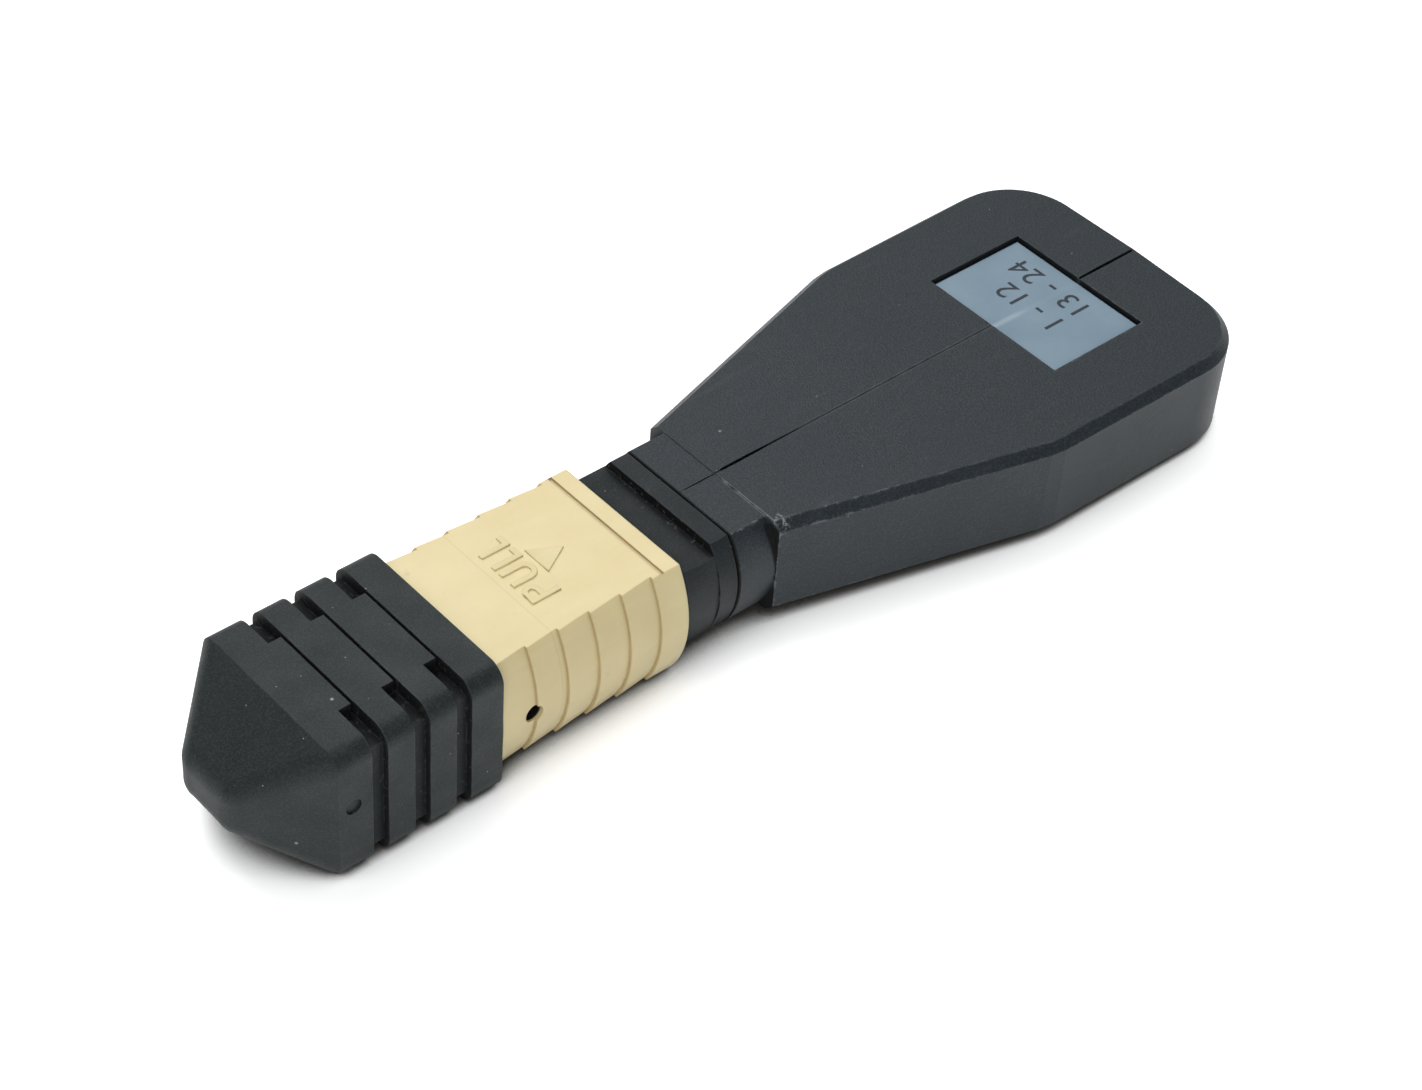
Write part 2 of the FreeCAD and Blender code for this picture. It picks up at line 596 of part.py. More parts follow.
def spring_push():
    """Rear half of the connector: spring seat, latch hooks, stop flange and barrel."""
    body = new_body("SpringPush")
    pad(body, "Block", "YZ_Plane", BLOCK_FRONT, FLANGE_FRONT,
        bulged("block_width", "block_height", "block_flat"))
    pad(body, "Flange", "YZ_Plane", FLANGE_FRONT, FLANGE_REAR, cut_round("flange_width", "body_height"))
    tongue_width = f"({CAVITY_WIDTH} - 2 * tongue_play)"
    tongue_height = f"({CAVITY_HEIGHT} - 2 * tongue_play)"
    pad(body, "Tongue", "YZ_Plane", TONGUE_FRONT, BLOCK_FRONT, centred(tongue_width, tongue_height))
    hooks = []
    for sign in ("", "-"):
        hooks.append(outline(
            (HOOK_FRONT, f"{sign}({tongue_height} / 2 - hook_height)"),
            (HOOK_REAR, f"{sign}({tongue_height} / 2 - hook_height)"),
            (HOOK_REAR, f"{sign}({tongue_height} / 2 + hook_height)"),
            (HOOK_FRONT, f"{sign}({tongue_height} / 2)")))
    pad(body, "Hooks", "XZ_Plane", half("hook_width", -1), half("hook_width"), *hooks)
    pad(body, "Barrel", "YZ_Plane", FLANGE_REAR, BARREL_REAR, circle("0", "0", "barrel_radius"))
    collar_front = f"({FLANGE_REAR} + collar_set)"
    pad(body, "Collar", "YZ_Plane", collar_front, f"({collar_front} + collar_length)",
        circle("0", "0", "collar_radius"))
    pocket(body, "FibrePassage", "YZ_Plane", TONGUE_FRONT, BARREL_REAR,
           centred("passage_width", "passage_height"))
    place(body, "spring_push")


# --- Ferrule group -----------------------------------------------------------

def mt_ferrule():
    """Rectangular 24-fibre ferrule with its rear collar and two guide pin holes."""
    body = new_body("Ferrule")
    pad(body, "Shank", "YZ_Plane", FERRULE_FACE, FERRULE_REAR, centred("ferrule_width", "ferrule_height"))
    pad(body, "Collar", "YZ_Plane", COLLAR_FRONT, FERRULE_REAR, centred("collar_wide", "collar_high"))
    pocket(body, "GuideHoles", "YZ_Plane", FERRULE_FACE, FERRULE_REAR,
           circle(half("guide_spacing"), "0", "guide_radius"),
           circle(half("guide_spacing", -1), "0", "guide_radius"))
    pocket(body, "BootSocket", "YZ_Plane", BOOT_FRONT, FERRULE_REAR, centred("boot_width", "boot_height"))
    window_front = f"({FERRULE_FACE} + glue_window_set)"
    pocket(body, "GlueWindow", "XY_Plane", "(ferrule_height / 2 - glue_window_depth)",
           f"(ferrule_height / 2 + {PAST})",
           rectangle(window_front, f"({window_front} + glue_window_length)",
                     half("glue_window_width", -1), half("glue_window_width")))
    place(body, "mt_ferrule")


def ferrule_boot():
    """Rubber boot that leads the fibres out of the ferrule."""
    body = new_body("FerruleBoot")
    pad(body, "Outside", "YZ_Plane", BOOT_FRONT, BOOT_REAR, centred("boot_width", "boot_height"))
    pocket(body, "Slot", "YZ_Plane", f"({BOOT_FRONT} + boot_floor)", BOOT_REAR,
           centred("boot_width - 2 * boot_wall", "boot_height - 2 * boot_wall"))
    place(body, "ferrule_boot")


def pin_keeper():
    """Spacer between ferrule and spring, without guide pins on this plug."""
    body = new_body("PinKeeper")
    pad(body, "Plate", "YZ_Plane", FERRULE_REAR, KEEPER_REAR, centred("keeper_width", "keeper_height"))
    pocket(body, "BootPassage", "YZ_Plane", FERRULE_REAR, KEEPER_REAR, centred("boot_width", "boot_height"))
    place(body, "pin_keeper")


# --- Loopback body -----------------------------------------------------------

def body_half(label, side):
    """One half of the hollow body with its neck, on the +Y (1) or the -Y (-1) side of the seam."""
    body = new_body(label.title().replace("_", ""))
    upper, lower = "(body_height / 2)", "(-body_height / 2)"
    pad(body, "Outside", "XY_Plane", lower, upper,
        outline(("0", "-shoulder_width / 2"), ("flare_length", "-flare_width / 2"),
                (REAR_EDGE, "-rear_width / 2"), ("body_length", "0"), (REAR_EDGE, "rear_width / 2"),
                ("flare_length", "flare_width / 2"), ("0", "shoulder_width / 2")))

    def at_rear_corner(edge):
        return all(near(v.X, REAR_EDGE) and near(abs(v.Y), "rear_width / 2") for v in edge.Vertexes)

    def on_the_rim(edge):
        flat = all(near(abs(v.Z), upper) for v in edge.Vertexes)
        at_shoulder = all(near(v.X, "0") for v in edge.Vertexes)
        at_seam = all(near(v.Y, "0") for v in edge.Vertexes)
        return flat and not at_shoulder and not at_seam

    soften(body, "RearCorners", "rear_corner", at_rear_corner)
    neck_front = "(neck_gap - neck_length)"
    pad(body, "Neck", "YZ_Plane", neck_front, "0", cut_round("neck_width", "body_height - 2 * neck_drop"))
    far = "(flare_width / 2 + rear_width / 2)"
    away = ("0", far) if side < 0 else (f"-{far}", "0")
    pocket(body, "Seam", "XY_Plane", lower, upper,
           rectangle(f"(-neck_length - {PAST})", f"(body_length + {PAST})", *away))
    bevel(body, "Rim", "edge_bevel", on_the_rim)

    roof = f"({upper} - shell_wall)"
    inner_side = "(rear_width / 2 - shell_wall)"
    flare_side = "(flare_width / 2 - shell_wall)"
    slope = "((flare_width - shoulder_width) / 2 / flare_length)"
    front_side = f"(shoulder_width / 2 - shell_wall + front_wall * {slope})"
    bend = "(rear_corner - shell_wall)"
    pocket(body, "Cavity", "XY_Plane", f"(-{roof})", roof,
           outline(("front_wall", f"-{front_side}"), ("flare_length", f"-{flare_side}"),
                   (f"({BOSS_REAR} - {bend})", f"-{inner_side}"),
                   (BOSS_REAR, f"({bend} - {inner_side})", bend),
                   (BOSS_REAR, f"({inner_side} - {bend})"),
                   (f"({BOSS_REAR} - {bend})", inner_side, bend),
                   ("flare_length", flare_side), ("front_wall", front_side)))
    pocket(body, "BarrelSeat", "YZ_Plane", "-neck_length", "front_wall",
           circle("0", "0", "barrel_radius + grip_play"))
    collar_front = f"({FLANGE_REAR} + collar_set - grip_play)"
    pocket(body, "CollarSeat", "YZ_Plane", collar_front, f"({collar_front} + collar_length + 2 * grip_play)",
           circle("0", "0", "collar_radius + grip_play"))
    pocket(body, "LabelRecess", "XY_Plane", f"({upper} - recess_depth)", upper,
           rectangle("recess_start", "(recess_start + recess_length)", half("recess_width", -1),
                     half("recess_width")))
    veins = []
    for sign in ("", "-"):
        veins.append(outline(("-seam_relief", f"{sign}{upper}"), ("0", f"{sign}({upper} - seam_relief)"),
                             ("seam_relief", f"{sign}{upper}")))
    pocket(body, "SeamGroove", "YZ_Plane", "-neck_length", "body_length", *veins)

    across = ("0", "boss_width") if side > 0 else ("-boss_width", "0")
    pad(body, "Boss", "XY_Plane", half("boss_height", -1), half("boss_height"),
        rectangle(BOSS_FRONT, f"({BOSS_REAR} + shell_wall / 2)", *across))
    locator_x = f"({BOSS_FRONT} + boss_length / 2)"
    if side > 0:
        pad(body, "LocatingPin", "XZ_Plane", "0", "locator_length", circle(locator_x, "0", "locator_radius"))
    else:
        pocket(body, "LocatingHole", "XZ_Plane", "0", "(locator_length + grip_play)",
               circle(locator_x, "0", "locator_radius + grip_play"))
    place(body, label)


def label_plate():
    """Thin label stuck into its recess across the seam."""
    body = new_body("Label")
    floor = "(body_height / 2 - recess_depth)"
    pad(body, "Plate", "XY_Plane", floor, f"({floor} + label_thick)",
        rectangle("(recess_start + label_margin)", "(recess_start + recess_length - label_margin)",
                  "(label_margin - recess_width / 2)", "(recess_width / 2 - label_margin)"))
    place(body, "label")


# --- Springs -----------------------------------------------------------------

# Thin wires and fibres are drawn with this many sides, a coil with this many runs a turn, and
# a fibre with this many runs round its loop and through each bend of its legs.
WIRE_SIDES = 6
COIL_RUNS = 12
LOOP_RUNS = 20
LEAD_RUNS = 3


def wire_shape(path, radius):
    """Thin wire swept along a path, mitred where two runs meet at an angle."""
    first = path.OrderedEdges[0]
    start = first.valueAt(first.FirstParameter)
    turn = FreeCAD.Rotation(FreeCAD.Vector(0, 0, 1), first.tangentAt(first.FirstParameter))
    corners = []
    for i in range(WIRE_SIDES + 1):
        angle = 2 * math.pi * i / WIRE_SIDES
        corners.append(start + turn * FreeCAD.Vector(radius * math.cos(angle), radius * math.sin(angle), 0))
    sweep = Part.BRepOffsetAPI.MakePipeShell(path)
    sweep.setTransitionMode(1)
    sweep.add(Part.makePolygon(corners))
    sweep.build()
    sweep.makeSolid()
    return sweep.shape()


def swept_piece(label, shape):
    """Sub-part whose shape is a sweep, with sizes read from the sheet."""
    piece = doc.addObject("Part::Feature", label.title().replace("_", ""))
    piece.Shape = shape
    place(piece, label)


def coil_path(start_x, length, turns, centre_y, bend, straight):
    """Coil along X: half a turn round each side, with straight runs between them if it is oval."""
    half_runs = COIL_RUNS // 2
    ring = []
    for side in (1, -1):
        for i in range(0 if straight else 1, half_runs + 1):
            angle = math.pi * i / half_runs
            ring.append(FreeCAD.Vector(0, side * (straight / 2 + bend * math.sin(angle)),
                                       -side * bend * math.cos(angle)))
    steps = [(ring[(i + 1) % len(ring)] - ring[i]).Length for i in range(len(ring))]
    rise = length / turns / sum(steps)
    point = FreeCAD.Vector(start_x, centre_y, 0) + ring[0]
    points = [point]
    for i in range(turns * len(ring)):
        move = ring[(i + 1) % len(ring)] - ring[i % len(ring)]
        point = point + move + FreeCAD.Vector(rise * move.Length, 0, 0)
        points.append(point)
    return Part.makePolygon(points)


def ferrule_spring():
    """Oval coil spring that presses the ferrule forwards; the fibres pass through it."""
    wire = size("main_wire / 2")
    bend = size("main_coil_height / 2") - wire
    straight = size("main_coil_width - main_coil_height")
    start_x = size(f"{KEEPER_REAR} + spring_play") + wire
    length = size(f"{TONGUE_FRONT} - {KEEPER_REAR} - 2 * spring_play") - 2 * wire
    path = coil_path(start_x, length, int(size("main_turns")), 0, bend, straight)
    swept_piece("ferrule_spring", wire_shape(path, wire))


def sleeve_spring(label, side):
    """Small coil spring in the side groove of the inner housing that pushes the sleeve forwards."""
    wire = size("side_wire / 2")
    start_x = size(f"{LUG_REAR} + spring_play") + wire
    length = size(f"{GROOVE_REAR} - {LUG_REAR} - 2 * spring_play") - 2 * wire
    centre_y = side * size("housing_width / 2 - groove_depth + side_coil / 2 + spring_play")
    path = coil_path(start_x, length, int(size("side_turns")), centre_y, size("side_coil / 2") - wire, 0)
    swept_piece(label, wire_shape(path, wire))


# --- Fibres ------------------------------------------------------------------

def fibre_loop(label, order, height):
    """One fibre that leaves the ribbon, turns back round the body and returns beside it."""
    radius = size(f"loop_radius - (loops_per_row - 1 - {order}) * loop_step")
    leg = size(f"fibre_pitch * ({order} + 0.5)")
    lead = size("lead_radius")
    angle = math.radians(size("lead_angle"))
    centre = size(f"{BOSS_FRONT} - loop_play - loop_radius")
    start = size(f"{BOOT_FRONT} + boot_floor + float_travel + fibre_setback")
    straight = (radius * math.cos(angle) - leg - lead * (1 - math.cos(angle))) / math.sin(angle)
    bend_x = centre - (radius + lead) * math.sin(angle) - straight * math.cos(angle)

    def leg_points(side):
        def point(x, y):
            return FreeCAD.Vector(x, side * y, height)
        middle = angle / 2
        bend_end = point(bend_x + lead * math.sin(angle), leg + lead * (1 - math.cos(angle)))
        bend_middle = point(bend_x + lead * math.sin(middle), leg + lead * (1 - math.cos(middle)))
        lead_arc = Part.Arc(point(bend_x, leg), bend_middle, bend_end).toShape()
        tangent = point(centre - radius * math.sin(angle), radius * math.cos(angle))
        return [point(start, leg), *lead_arc.discretize(LEAD_RUNS + 1), tangent]

    out, back = leg_points(1), leg_points(-1)
    turn = Part.Arc(out[-1], FreeCAD.Vector(centre + radius, 0, height), back[-1]).toShape()
    path = Part.makePolygon(out[:-1] + turn.discretize(LOOP_RUNS + 1) + back[-2::-1])
    swept_piece(label, wire_shape(path, size("fibre_diameter / 2")))


# --- Assembly ----------------------------------------------------------------

dust_cap()
outer_sleeve()
inner_housing()
spring_push()
mt_ferrule()
ferrule_boot()
pin_keeper()
ferrule_spring()
sleeve_spring("sleeve_spring_left", 1)
sleeve_spring("sleeve_spring_right", -1)
body_half("shell_left", 1)
body_half("shell_right", -1)
label_plate()
for row_number, row_height in enumerate(("row_spacing / 2", "-row_spacing / 2")):
    for loop_number in range(int(size("loops_per_row"))):
        fibre_number = row_number * int(size("loops_per_row")) + loop_number + 1
        fibre_loop(f"fibre_loop_{fibre_number:02d}", loop_number, size(row_height))

doc.recompute()
for item in doc.Objects:
    if "Invalid" in item.State or "Error" in item.State:
        raise ValueError(f"{item.Name} failed: {item.State}")
for piece in PIECES:
    if piece.Shape.isNull() or not piece.Shape.isValid():
        raise ValueError(f"{piece.Label} has no valid shape")

os.makedirs("parts", exist_ok=True)
for piece in PIECES:
    piece.Shape.exportStep(os.path.join("parts", piece.Label + ".step"))
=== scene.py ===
import math

import bmesh
import bpy
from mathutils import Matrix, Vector


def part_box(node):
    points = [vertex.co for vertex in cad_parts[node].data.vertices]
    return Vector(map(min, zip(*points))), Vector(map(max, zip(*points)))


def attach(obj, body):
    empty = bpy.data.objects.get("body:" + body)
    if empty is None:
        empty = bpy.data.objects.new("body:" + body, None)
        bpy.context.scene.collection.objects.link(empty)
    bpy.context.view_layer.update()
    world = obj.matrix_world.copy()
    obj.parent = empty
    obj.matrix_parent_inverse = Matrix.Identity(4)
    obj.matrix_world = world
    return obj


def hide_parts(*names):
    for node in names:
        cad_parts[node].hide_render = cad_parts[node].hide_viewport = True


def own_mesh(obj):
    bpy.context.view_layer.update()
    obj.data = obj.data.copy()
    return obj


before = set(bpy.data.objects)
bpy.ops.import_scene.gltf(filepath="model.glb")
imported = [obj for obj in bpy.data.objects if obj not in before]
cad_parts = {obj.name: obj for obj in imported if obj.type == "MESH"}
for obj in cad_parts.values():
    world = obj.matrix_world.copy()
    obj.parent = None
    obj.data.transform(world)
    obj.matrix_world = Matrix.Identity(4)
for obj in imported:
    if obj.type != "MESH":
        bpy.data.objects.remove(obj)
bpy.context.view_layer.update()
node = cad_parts

# --- Dust cap ----------------------------------------------------------------
# One thick moulding in black polypropylene, with grip grooves cut round it and
# a blunt tapered nose. It comes out of a spark-eroded mould, so its faces are
# finely grained and only the edges that get handled turn smooth and paler.

cap_low, cap_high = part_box("dust_cap")

PLASTIC_BLACK = (0.0085, 0.0130, 0.0165)
CAP_BLACK = (0.0076, 0.0112, 0.0120)
RUBBED_BLACK = (0.06, 0.066, 0.072)
DUST = (0.42, 0.42, 0.41)
LINT = (0.11, 0.11, 0.11)
DEEP_SHADE = (0.001, 0.0015, 0.002)


class Finish:
    """A material drawn as nodes, with every pattern set out in metres on the object."""

    def __init__(self, name):
        self.material = bpy.data.materials.new(name)
        self.material.use_nodes = True
        self.tree = self.material.node_tree
        self.shader = self.tree.nodes["Principled BSDF"]
        self.place = self.tree.nodes.new("ShaderNodeTexCoord").outputs["Object"]

    def node(self, kind, **settings):
        """A new node of a kind, with its settings."""
        made = self.tree.nodes.new(kind)
        for name, value in settings.items():
            setattr(made, name, value)
        return made

    def link(self, source, target):
        self.tree.links.new(source, target)

    def coordinates(self, vector=None):
        """The three distances along X, Y and Z, of the place on the object or of a given vector."""
        split = self.node("ShaderNodeSeparateXYZ")
        self.link(vector or self.place, split.inputs["Vector"])
        return split.outputs["X"], split.outputs["Y"], split.outputs["Z"]

    def stretched(self, scale):
        """The object's own coordinates, stretched by a different amount along each axis."""
        mapping = self.node("ShaderNodeMapping")
        mapping.inputs["Scale"].default_value = scale
        self.link(self.place, mapping.inputs["Vector"])
        return mapping.outputs["Vector"]

    def noise(self, scale, detail=2.0, vector=None, roughness=0.5):
        """Cloudy noise from 0 to 1, with so many blots to the metre."""
        made = self.node("ShaderNodeTexNoise")
        self.link(vector or self.place, made.inputs["Vector"])
        made.inputs["Scale"].default_value = scale
        made.inputs["Detail"].default_value = detail
        made.inputs["Roughness"].default_value = roughness
        return made.outputs["Fac"]

    def band(self, source, low, high, out_low=0.0, out_high=1.0):
        """A value carried from one span to another, and held at its ends."""
        made = self.node("ShaderNodeMapRange")
        self.link(source, made.inputs["Value"])
        for name, value in (("From Min", low), ("From Max", high), ("To Min", out_low), ("To Max", out_high)):
            made.inputs[name].default_value = value
        return made.outputs["Result"]

    def sum(self, kind, first, second):
        """A sum done on two values, each one a socket or a number."""
        made = self.node("ShaderNodeMath", operation=kind)
        for socket, value in zip(made.inputs, (first, second)):
            if isinstance(value, (int, float)):
                socket.default_value = value
            else:
                self.link(value, socket)
        return made.outputs["Value"]

    def mixed(self, amount, first, second):
        """The first colour turned into the second by an amount from 0 to 1."""
        made = self.node("ShaderNodeMix", data_type="RGBA")
        self.link(amount, made.inputs["Factor"])
        for socket, value in ((made.inputs["A"], first), (made.inputs["B"], second)):
            if isinstance(value, tuple):
                socket.default_value = (*value, 1.0)
            else:
                self.link(value, socket)
        return made.outputs["Result"]

    def specks(self, spacing, size, share):
        """Round specks of dust on a random share of the cells."""
        made = self.node("ShaderNodeTexVoronoi", feature="F1")
        self.link(self.place, made.inputs["Vector"])
        made.inputs["Scale"].default_value = 1.0 / spacing
        near = self.band(made.outputs["Distance"], size / spacing, 0.5 * size / spacing)
        split = self.node("ShaderNodeSeparateColor")
        self.link(made.outputs["Color"], split.inputs["Color"])
        chosen = self.sum("LESS_THAN", split.outputs["Red"], share)
        return self.sum("MULTIPLY", near, chosen)

    def crevice(self, reach):
        """How closed in the surface is: 1 deep in a corner or a gap, 0 in the open."""
        made = self.node("ShaderNodeAmbientOcclusion", samples=8)
        made.inputs["Distance"].default_value = reach
        return self.band(made.outputs["AO"], 0.86, 0.46)

    def worn_edge(self, radius):
        """How far the surface bends away within a radius: 1 on an edge, 0 on a flat face."""
        bevel = self.node("ShaderNodeBevel", samples=6)
        bevel.inputs["Radius"].default_value = radius
        own = self.node("ShaderNodeNewGeometry")
        dot = self.node("ShaderNodeVectorMath", operation="DOT_PRODUCT")
        self.link(bevel.outputs["Normal"], dot.inputs[0])
        self.link(own.outputs["Normal"], dot.inputs[1])
        return self.band(dot.outputs["Value"], 0.995, 0.90)

    def relief(self, height, depth, edge_radius):
        """Bump of a given depth over edges that are softened by a small radius."""
        bevel = self.node("ShaderNodeBevel", samples=6)
        bevel.inputs["Radius"].default_value = edge_radius
        bump = self.node("ShaderNodeBump")
        bump.inputs["Strength"].default_value = 1.0
        bump.inputs["Distance"].default_value = depth
        self.link(height, bump.inputs["Height"])
        self.link(bevel.outputs["Normal"], bump.inputs["Normal"])
        self.link(bump.outputs["Normal"], self.shader.inputs["Normal"])


def moulded_black(name, colour, grain_depth, low_rough, high_rough, dust_share, shade_reach, gloss=0.38):
    """Black moulded plastic: grained, a little cloudy, rubbed at its edges, dusty, and with painted shade in
    its corners and gaps.
    """
    f = Finish(name)
    cloud = f.noise(210, 3)
    grain = f.noise(7800, 2, roughness=0.7)
    patches = f.noise(420, 4)
    base = f.mixed(f.band(cloud, 0.35, 0.7), colour, tuple(1.3 * c for c in colour))
    base = f.mixed(f.band(grain, 0.46, 0.66), base, tuple(3.0 * c for c in colour))
    closed = f.crevice(shade_reach)
    # Painted shade: deep in corners and gaps the colour turns near-black.
    base = f.mixed(closed, base, DEEP_SHADE)
    lint = f.band(f.noise(2800, 5, roughness=0.7), 0.58, 0.66, 0.0, 2.0 * dust_share)
    base = f.mixed(f.sum("MULTIPLY", closed, lint), base, LINT)
    rubbed = f.sum("MULTIPLY", f.worn_edge(0.00016), f.band(f.noise(900, 3), 0.38, 0.66))
    base = f.mixed(f.sum("MULTIPLY", rubbed, 0.75), base, RUBBED_BLACK)
    dust = f.sum("MAXIMUM", f.specks(0.0021, 0.00014, dust_share), f.specks(0.0009, 0.00006, dust_share))
    base = f.mixed(f.sum("MULTIPLY", dust, 0.75), base, DUST)
    f.link(base, f.shader.inputs["Base Color"])
    rough = f.band(patches, 0.3, 0.75, low_rough, high_rough)
    rough = f.sum("ADD", rough, f.band(grain, 0.2, 0.8, -0.06, 0.06))
    f.link(f.sum("ADD", rough, f.sum("MULTIPLY", closed, 0.4)), f.shader.inputs["Roughness"])
    f.shader.inputs["Specular IOR Level"].default_value = gloss
    f.relief(f.sum("ADD", grain, f.sum("MULTIPLY", cloud, 0.8)), grain_depth, 0.00009)
    return f.material


def dress(name, material):
    """Give a solid of the frame its finish."""
    node[name].data.materials.clear()
    node[name].data.materials.append(material)


cap_plastic = moulded_black("moulded_cap_plastic", CAP_BLACK, grain_depth=0.000034, low_rough=0.50,
                            high_rough=0.64, dust_share=0.30, shade_reach=0.0013)
dress("dust_cap", cap_plastic)

# --- Sliding sleeve ----------------------------------------------------------
# A hollow coupling in beige plastic that slides on the plug frame. Its flat
# top carries the raised word that says what to do with it and an arrow, both
# cut into the mould, so they stand up from the face with rounded edges.

sleeve_low, sleeve_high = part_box("outer_sleeve")

BEIGE = (0.87, 0.735, 0.415)
BEIGE_DEEP = (0.81, 0.66, 0.355)
BEIGE_GRIME_AND_SHADE = (0.40, 0.28, 0.14)
BEIGE_STREAK = (0.90, 0.77, 0.46)
HOLE_SHADE = (0.006, 0.006, 0.007)
MOULD_LINE = sleeve_low.x + 0.00458
HOLE_FROM_FRONT = 0.0024
HOLE_BELOW_AXIS = 0.0002
HOLE_RADIUS = 0.00062
SHADE_STARTS_IN_HOLE = 0.00032
SHADE_ENDS_IN_HOLE = 0.0021
hole_centre = Vector((sleeve_low.x + HOLE_FROM_FRONT, sleeve_low.y,
                      (sleeve_low.z + sleeve_high.z) / 2 - HOLE_BELOW_AXIS))


def moulded_beige():
    """Beige moulded plastic with flow marks, faint stains and painted shade in its corners.

    The round hole in the near side gets painted shade from a little way in."""
    f = Finish("moulded_beige_plastic")
    cloud = f.noise(160, 4)
    flow = f.noise(90, 3, f.stretched((2.2, 14, 14)))
    grain = f.noise(6400, 2)
    base = f.mixed(f.band(cloud, 0.3, 0.72), BEIGE, BEIGE_DEEP)
    base = f.mixed(f.band(flow, 0.45, 0.85, 0, 0.35), base, BEIGE_STREAK)
    # Painted shade: the colour darkens in the sleeve's corners and hollows.
    hollow = f.node("ShaderNodeAmbientOcclusion", samples=8, only_local=True)
    hollow.inputs["Distance"].default_value = 0.0005
    closed = f.band(hollow.outputs["AO"], 0.85, 0.35)
    base = f.mixed(f.sum("MULTIPLY", closed, 0.75), base, BEIGE_GRIME_AND_SHADE)
    along = f.coordinates()[0]
    joint = f.sum("ABSOLUTE", f.sum("SUBTRACT", along, MOULD_LINE), 0.0)
    base = f.mixed(f.band(joint, 0.00008, 0.00003, 0.0, 0.12), base, BEIGE_GRIME_AND_SHADE)
    stain = f.band(f.noise(1400, 4), 0.68, 0.78)
    base = f.mixed(f.sum("MULTIPLY", stain, 0.16), base, BEIGE_GRIME_AND_SHADE)
    # Painted shade: the round hole's wall turns near-black from a little way in.
    from_hole = f.node("ShaderNodeVectorMath", operation="SUBTRACT")
    f.link(f.place, from_hole.inputs[0])
    from_hole.inputs[1].default_value = hole_centre
    depth = f.coordinates(from_hole.outputs["Vector"])[1]
    flat = f.node("ShaderNodeVectorMath", operation="MULTIPLY")
    f.link(from_hole.outputs["Vector"], flat.inputs[0])
    flat.inputs[1].default_value = (1, 0, 1)
    away = f.node("ShaderNodeVectorMath", operation="LENGTH")
    f.link(flat.outputs["Vector"], away.inputs[0])
    hole_shade = f.band(away.outputs["Value"], HOLE_RADIUS + 0.00006, HOLE_RADIUS + 0.00002)
    hole_shade = f.sum("MULTIPLY", hole_shade, f.band(depth, SHADE_STARTS_IN_HOLE, SHADE_STARTS_IN_HOLE + 0.0001))
    hole_shade = f.sum("MULTIPLY", hole_shade, f.band(depth, SHADE_ENDS_IN_HOLE, SHADE_ENDS_IN_HOLE - 0.0002))
    base = f.mixed(hole_shade, base, HOLE_SHADE)
    f.link(base, f.shader.inputs["Base Color"])
    f.link(f.band(cloud, 0.3, 0.7, 0.40, 0.52), f.shader.inputs["Roughness"])
    f.shader.inputs["Subsurface Weight"].default_value = 0.12
    f.shader.inputs["Subsurface Radius"].default_value = (0.0011, 0.0007, 0.0003)
    f.shader.inputs["Subsurface Scale"].default_value = 1.0
    f.relief(f.sum("ADD", grain, f.sum("MULTIPLY", flow, 1.5)), 0.000008, 0.00011)
    return f.material


beige_plastic = moulded_beige()
dress("outer_sleeve", beige_plastic)

MARK_HEIGHT = 0.00013
MARK_SOFT = 0.00004
MARK_FROM_FRONT = 0.00512
STROKE = 0.00038
LETTER_HEIGHT = 0.00217
mark_top = sleeve_low.x + MARK_FROM_FRONT
mark_foot = mark_top + LETTER_HEIGHT


def weld(mesh):
    """Join the rims that a mesh made from a curve leaves apart, so that it is closed."""
    joined = bmesh.new()
    joined.from_mesh(mesh)
    bmesh.ops.remove_doubles(joined, verts=joined.verts, dist=0.0000002)
    joined.to_mesh(mesh)
    joined.free()


def flat_outline(name, loops, thickness, soft):
    """A plate with rounded edges from closed loops of points; inner loops are holes."""
    curve = bpy.data.curves.new(name, "CURVE")
    curve.dimensions = "2D"
    curve.fill_mode = "BOTH"
    curve.extrude = thickness / 2 - soft
    curve.bevel_depth = soft
    curve.bevel_resolution = 2
    curve.offset = -soft
    for loop in loops:
        spline = curve.splines.new("POLY")
        spline.points.add(len(loop) - 1)
        for point, (x, y) in zip(spline.points, loop):
            point.co = (x, y, 0, 1)
        spline.use_cyclic_u = True
    piece = bpy.data.objects.new(name, curve)
    bpy.context.scene.collection.objects.link(piece)
    bpy.context.view_layer.update()
    mesh = bpy.data.meshes.new_from_object(piece.evaluated_get(bpy.context.evaluated_depsgraph_get()))
    bpy.data.objects.remove(piece)
    weld(mesh)
    solid = bpy.data.objects.new(name, mesh)
    bpy.context.scene.collection.objects.link(solid)
    return solid


def bend(cx, cy, radius, start, finish, steps=10):
    """Points along an arc, angles in degrees."""
    points = []
    for i in range(steps + 1):
        angle = math.radians(start + (finish - start) * i / steps)
        points.append((cx + radius * math.cos(angle), cy + radius * math.sin(angle)))
    return points


# The word reads across the sleeve, with the tops of its letters towards the cap.
def letter_l(start):
    """An L from its left edge, as one closed outline."""
    width = 0.00095
    right = start + width
    inner = start + STROKE
    return [[(mark_top, start), (mark_foot, start), (mark_foot, right),
             (mark_foot - STROKE, right), (mark_foot - STROKE, inner), (mark_top, inner)]]


def letter_u(start):
    """A U with a round foot."""
    outer = 0.00075
    right = start + 2 * outer
    bowl = (mark_foot - outer, start + outer)
    return [[(mark_top, start), *bend(*bowl, outer, -90, 90), (mark_top, right),
             (mark_top, right - STROKE), *bend(*bowl, outer - STROKE, 90, -90), (mark_top, start + STROKE)]]


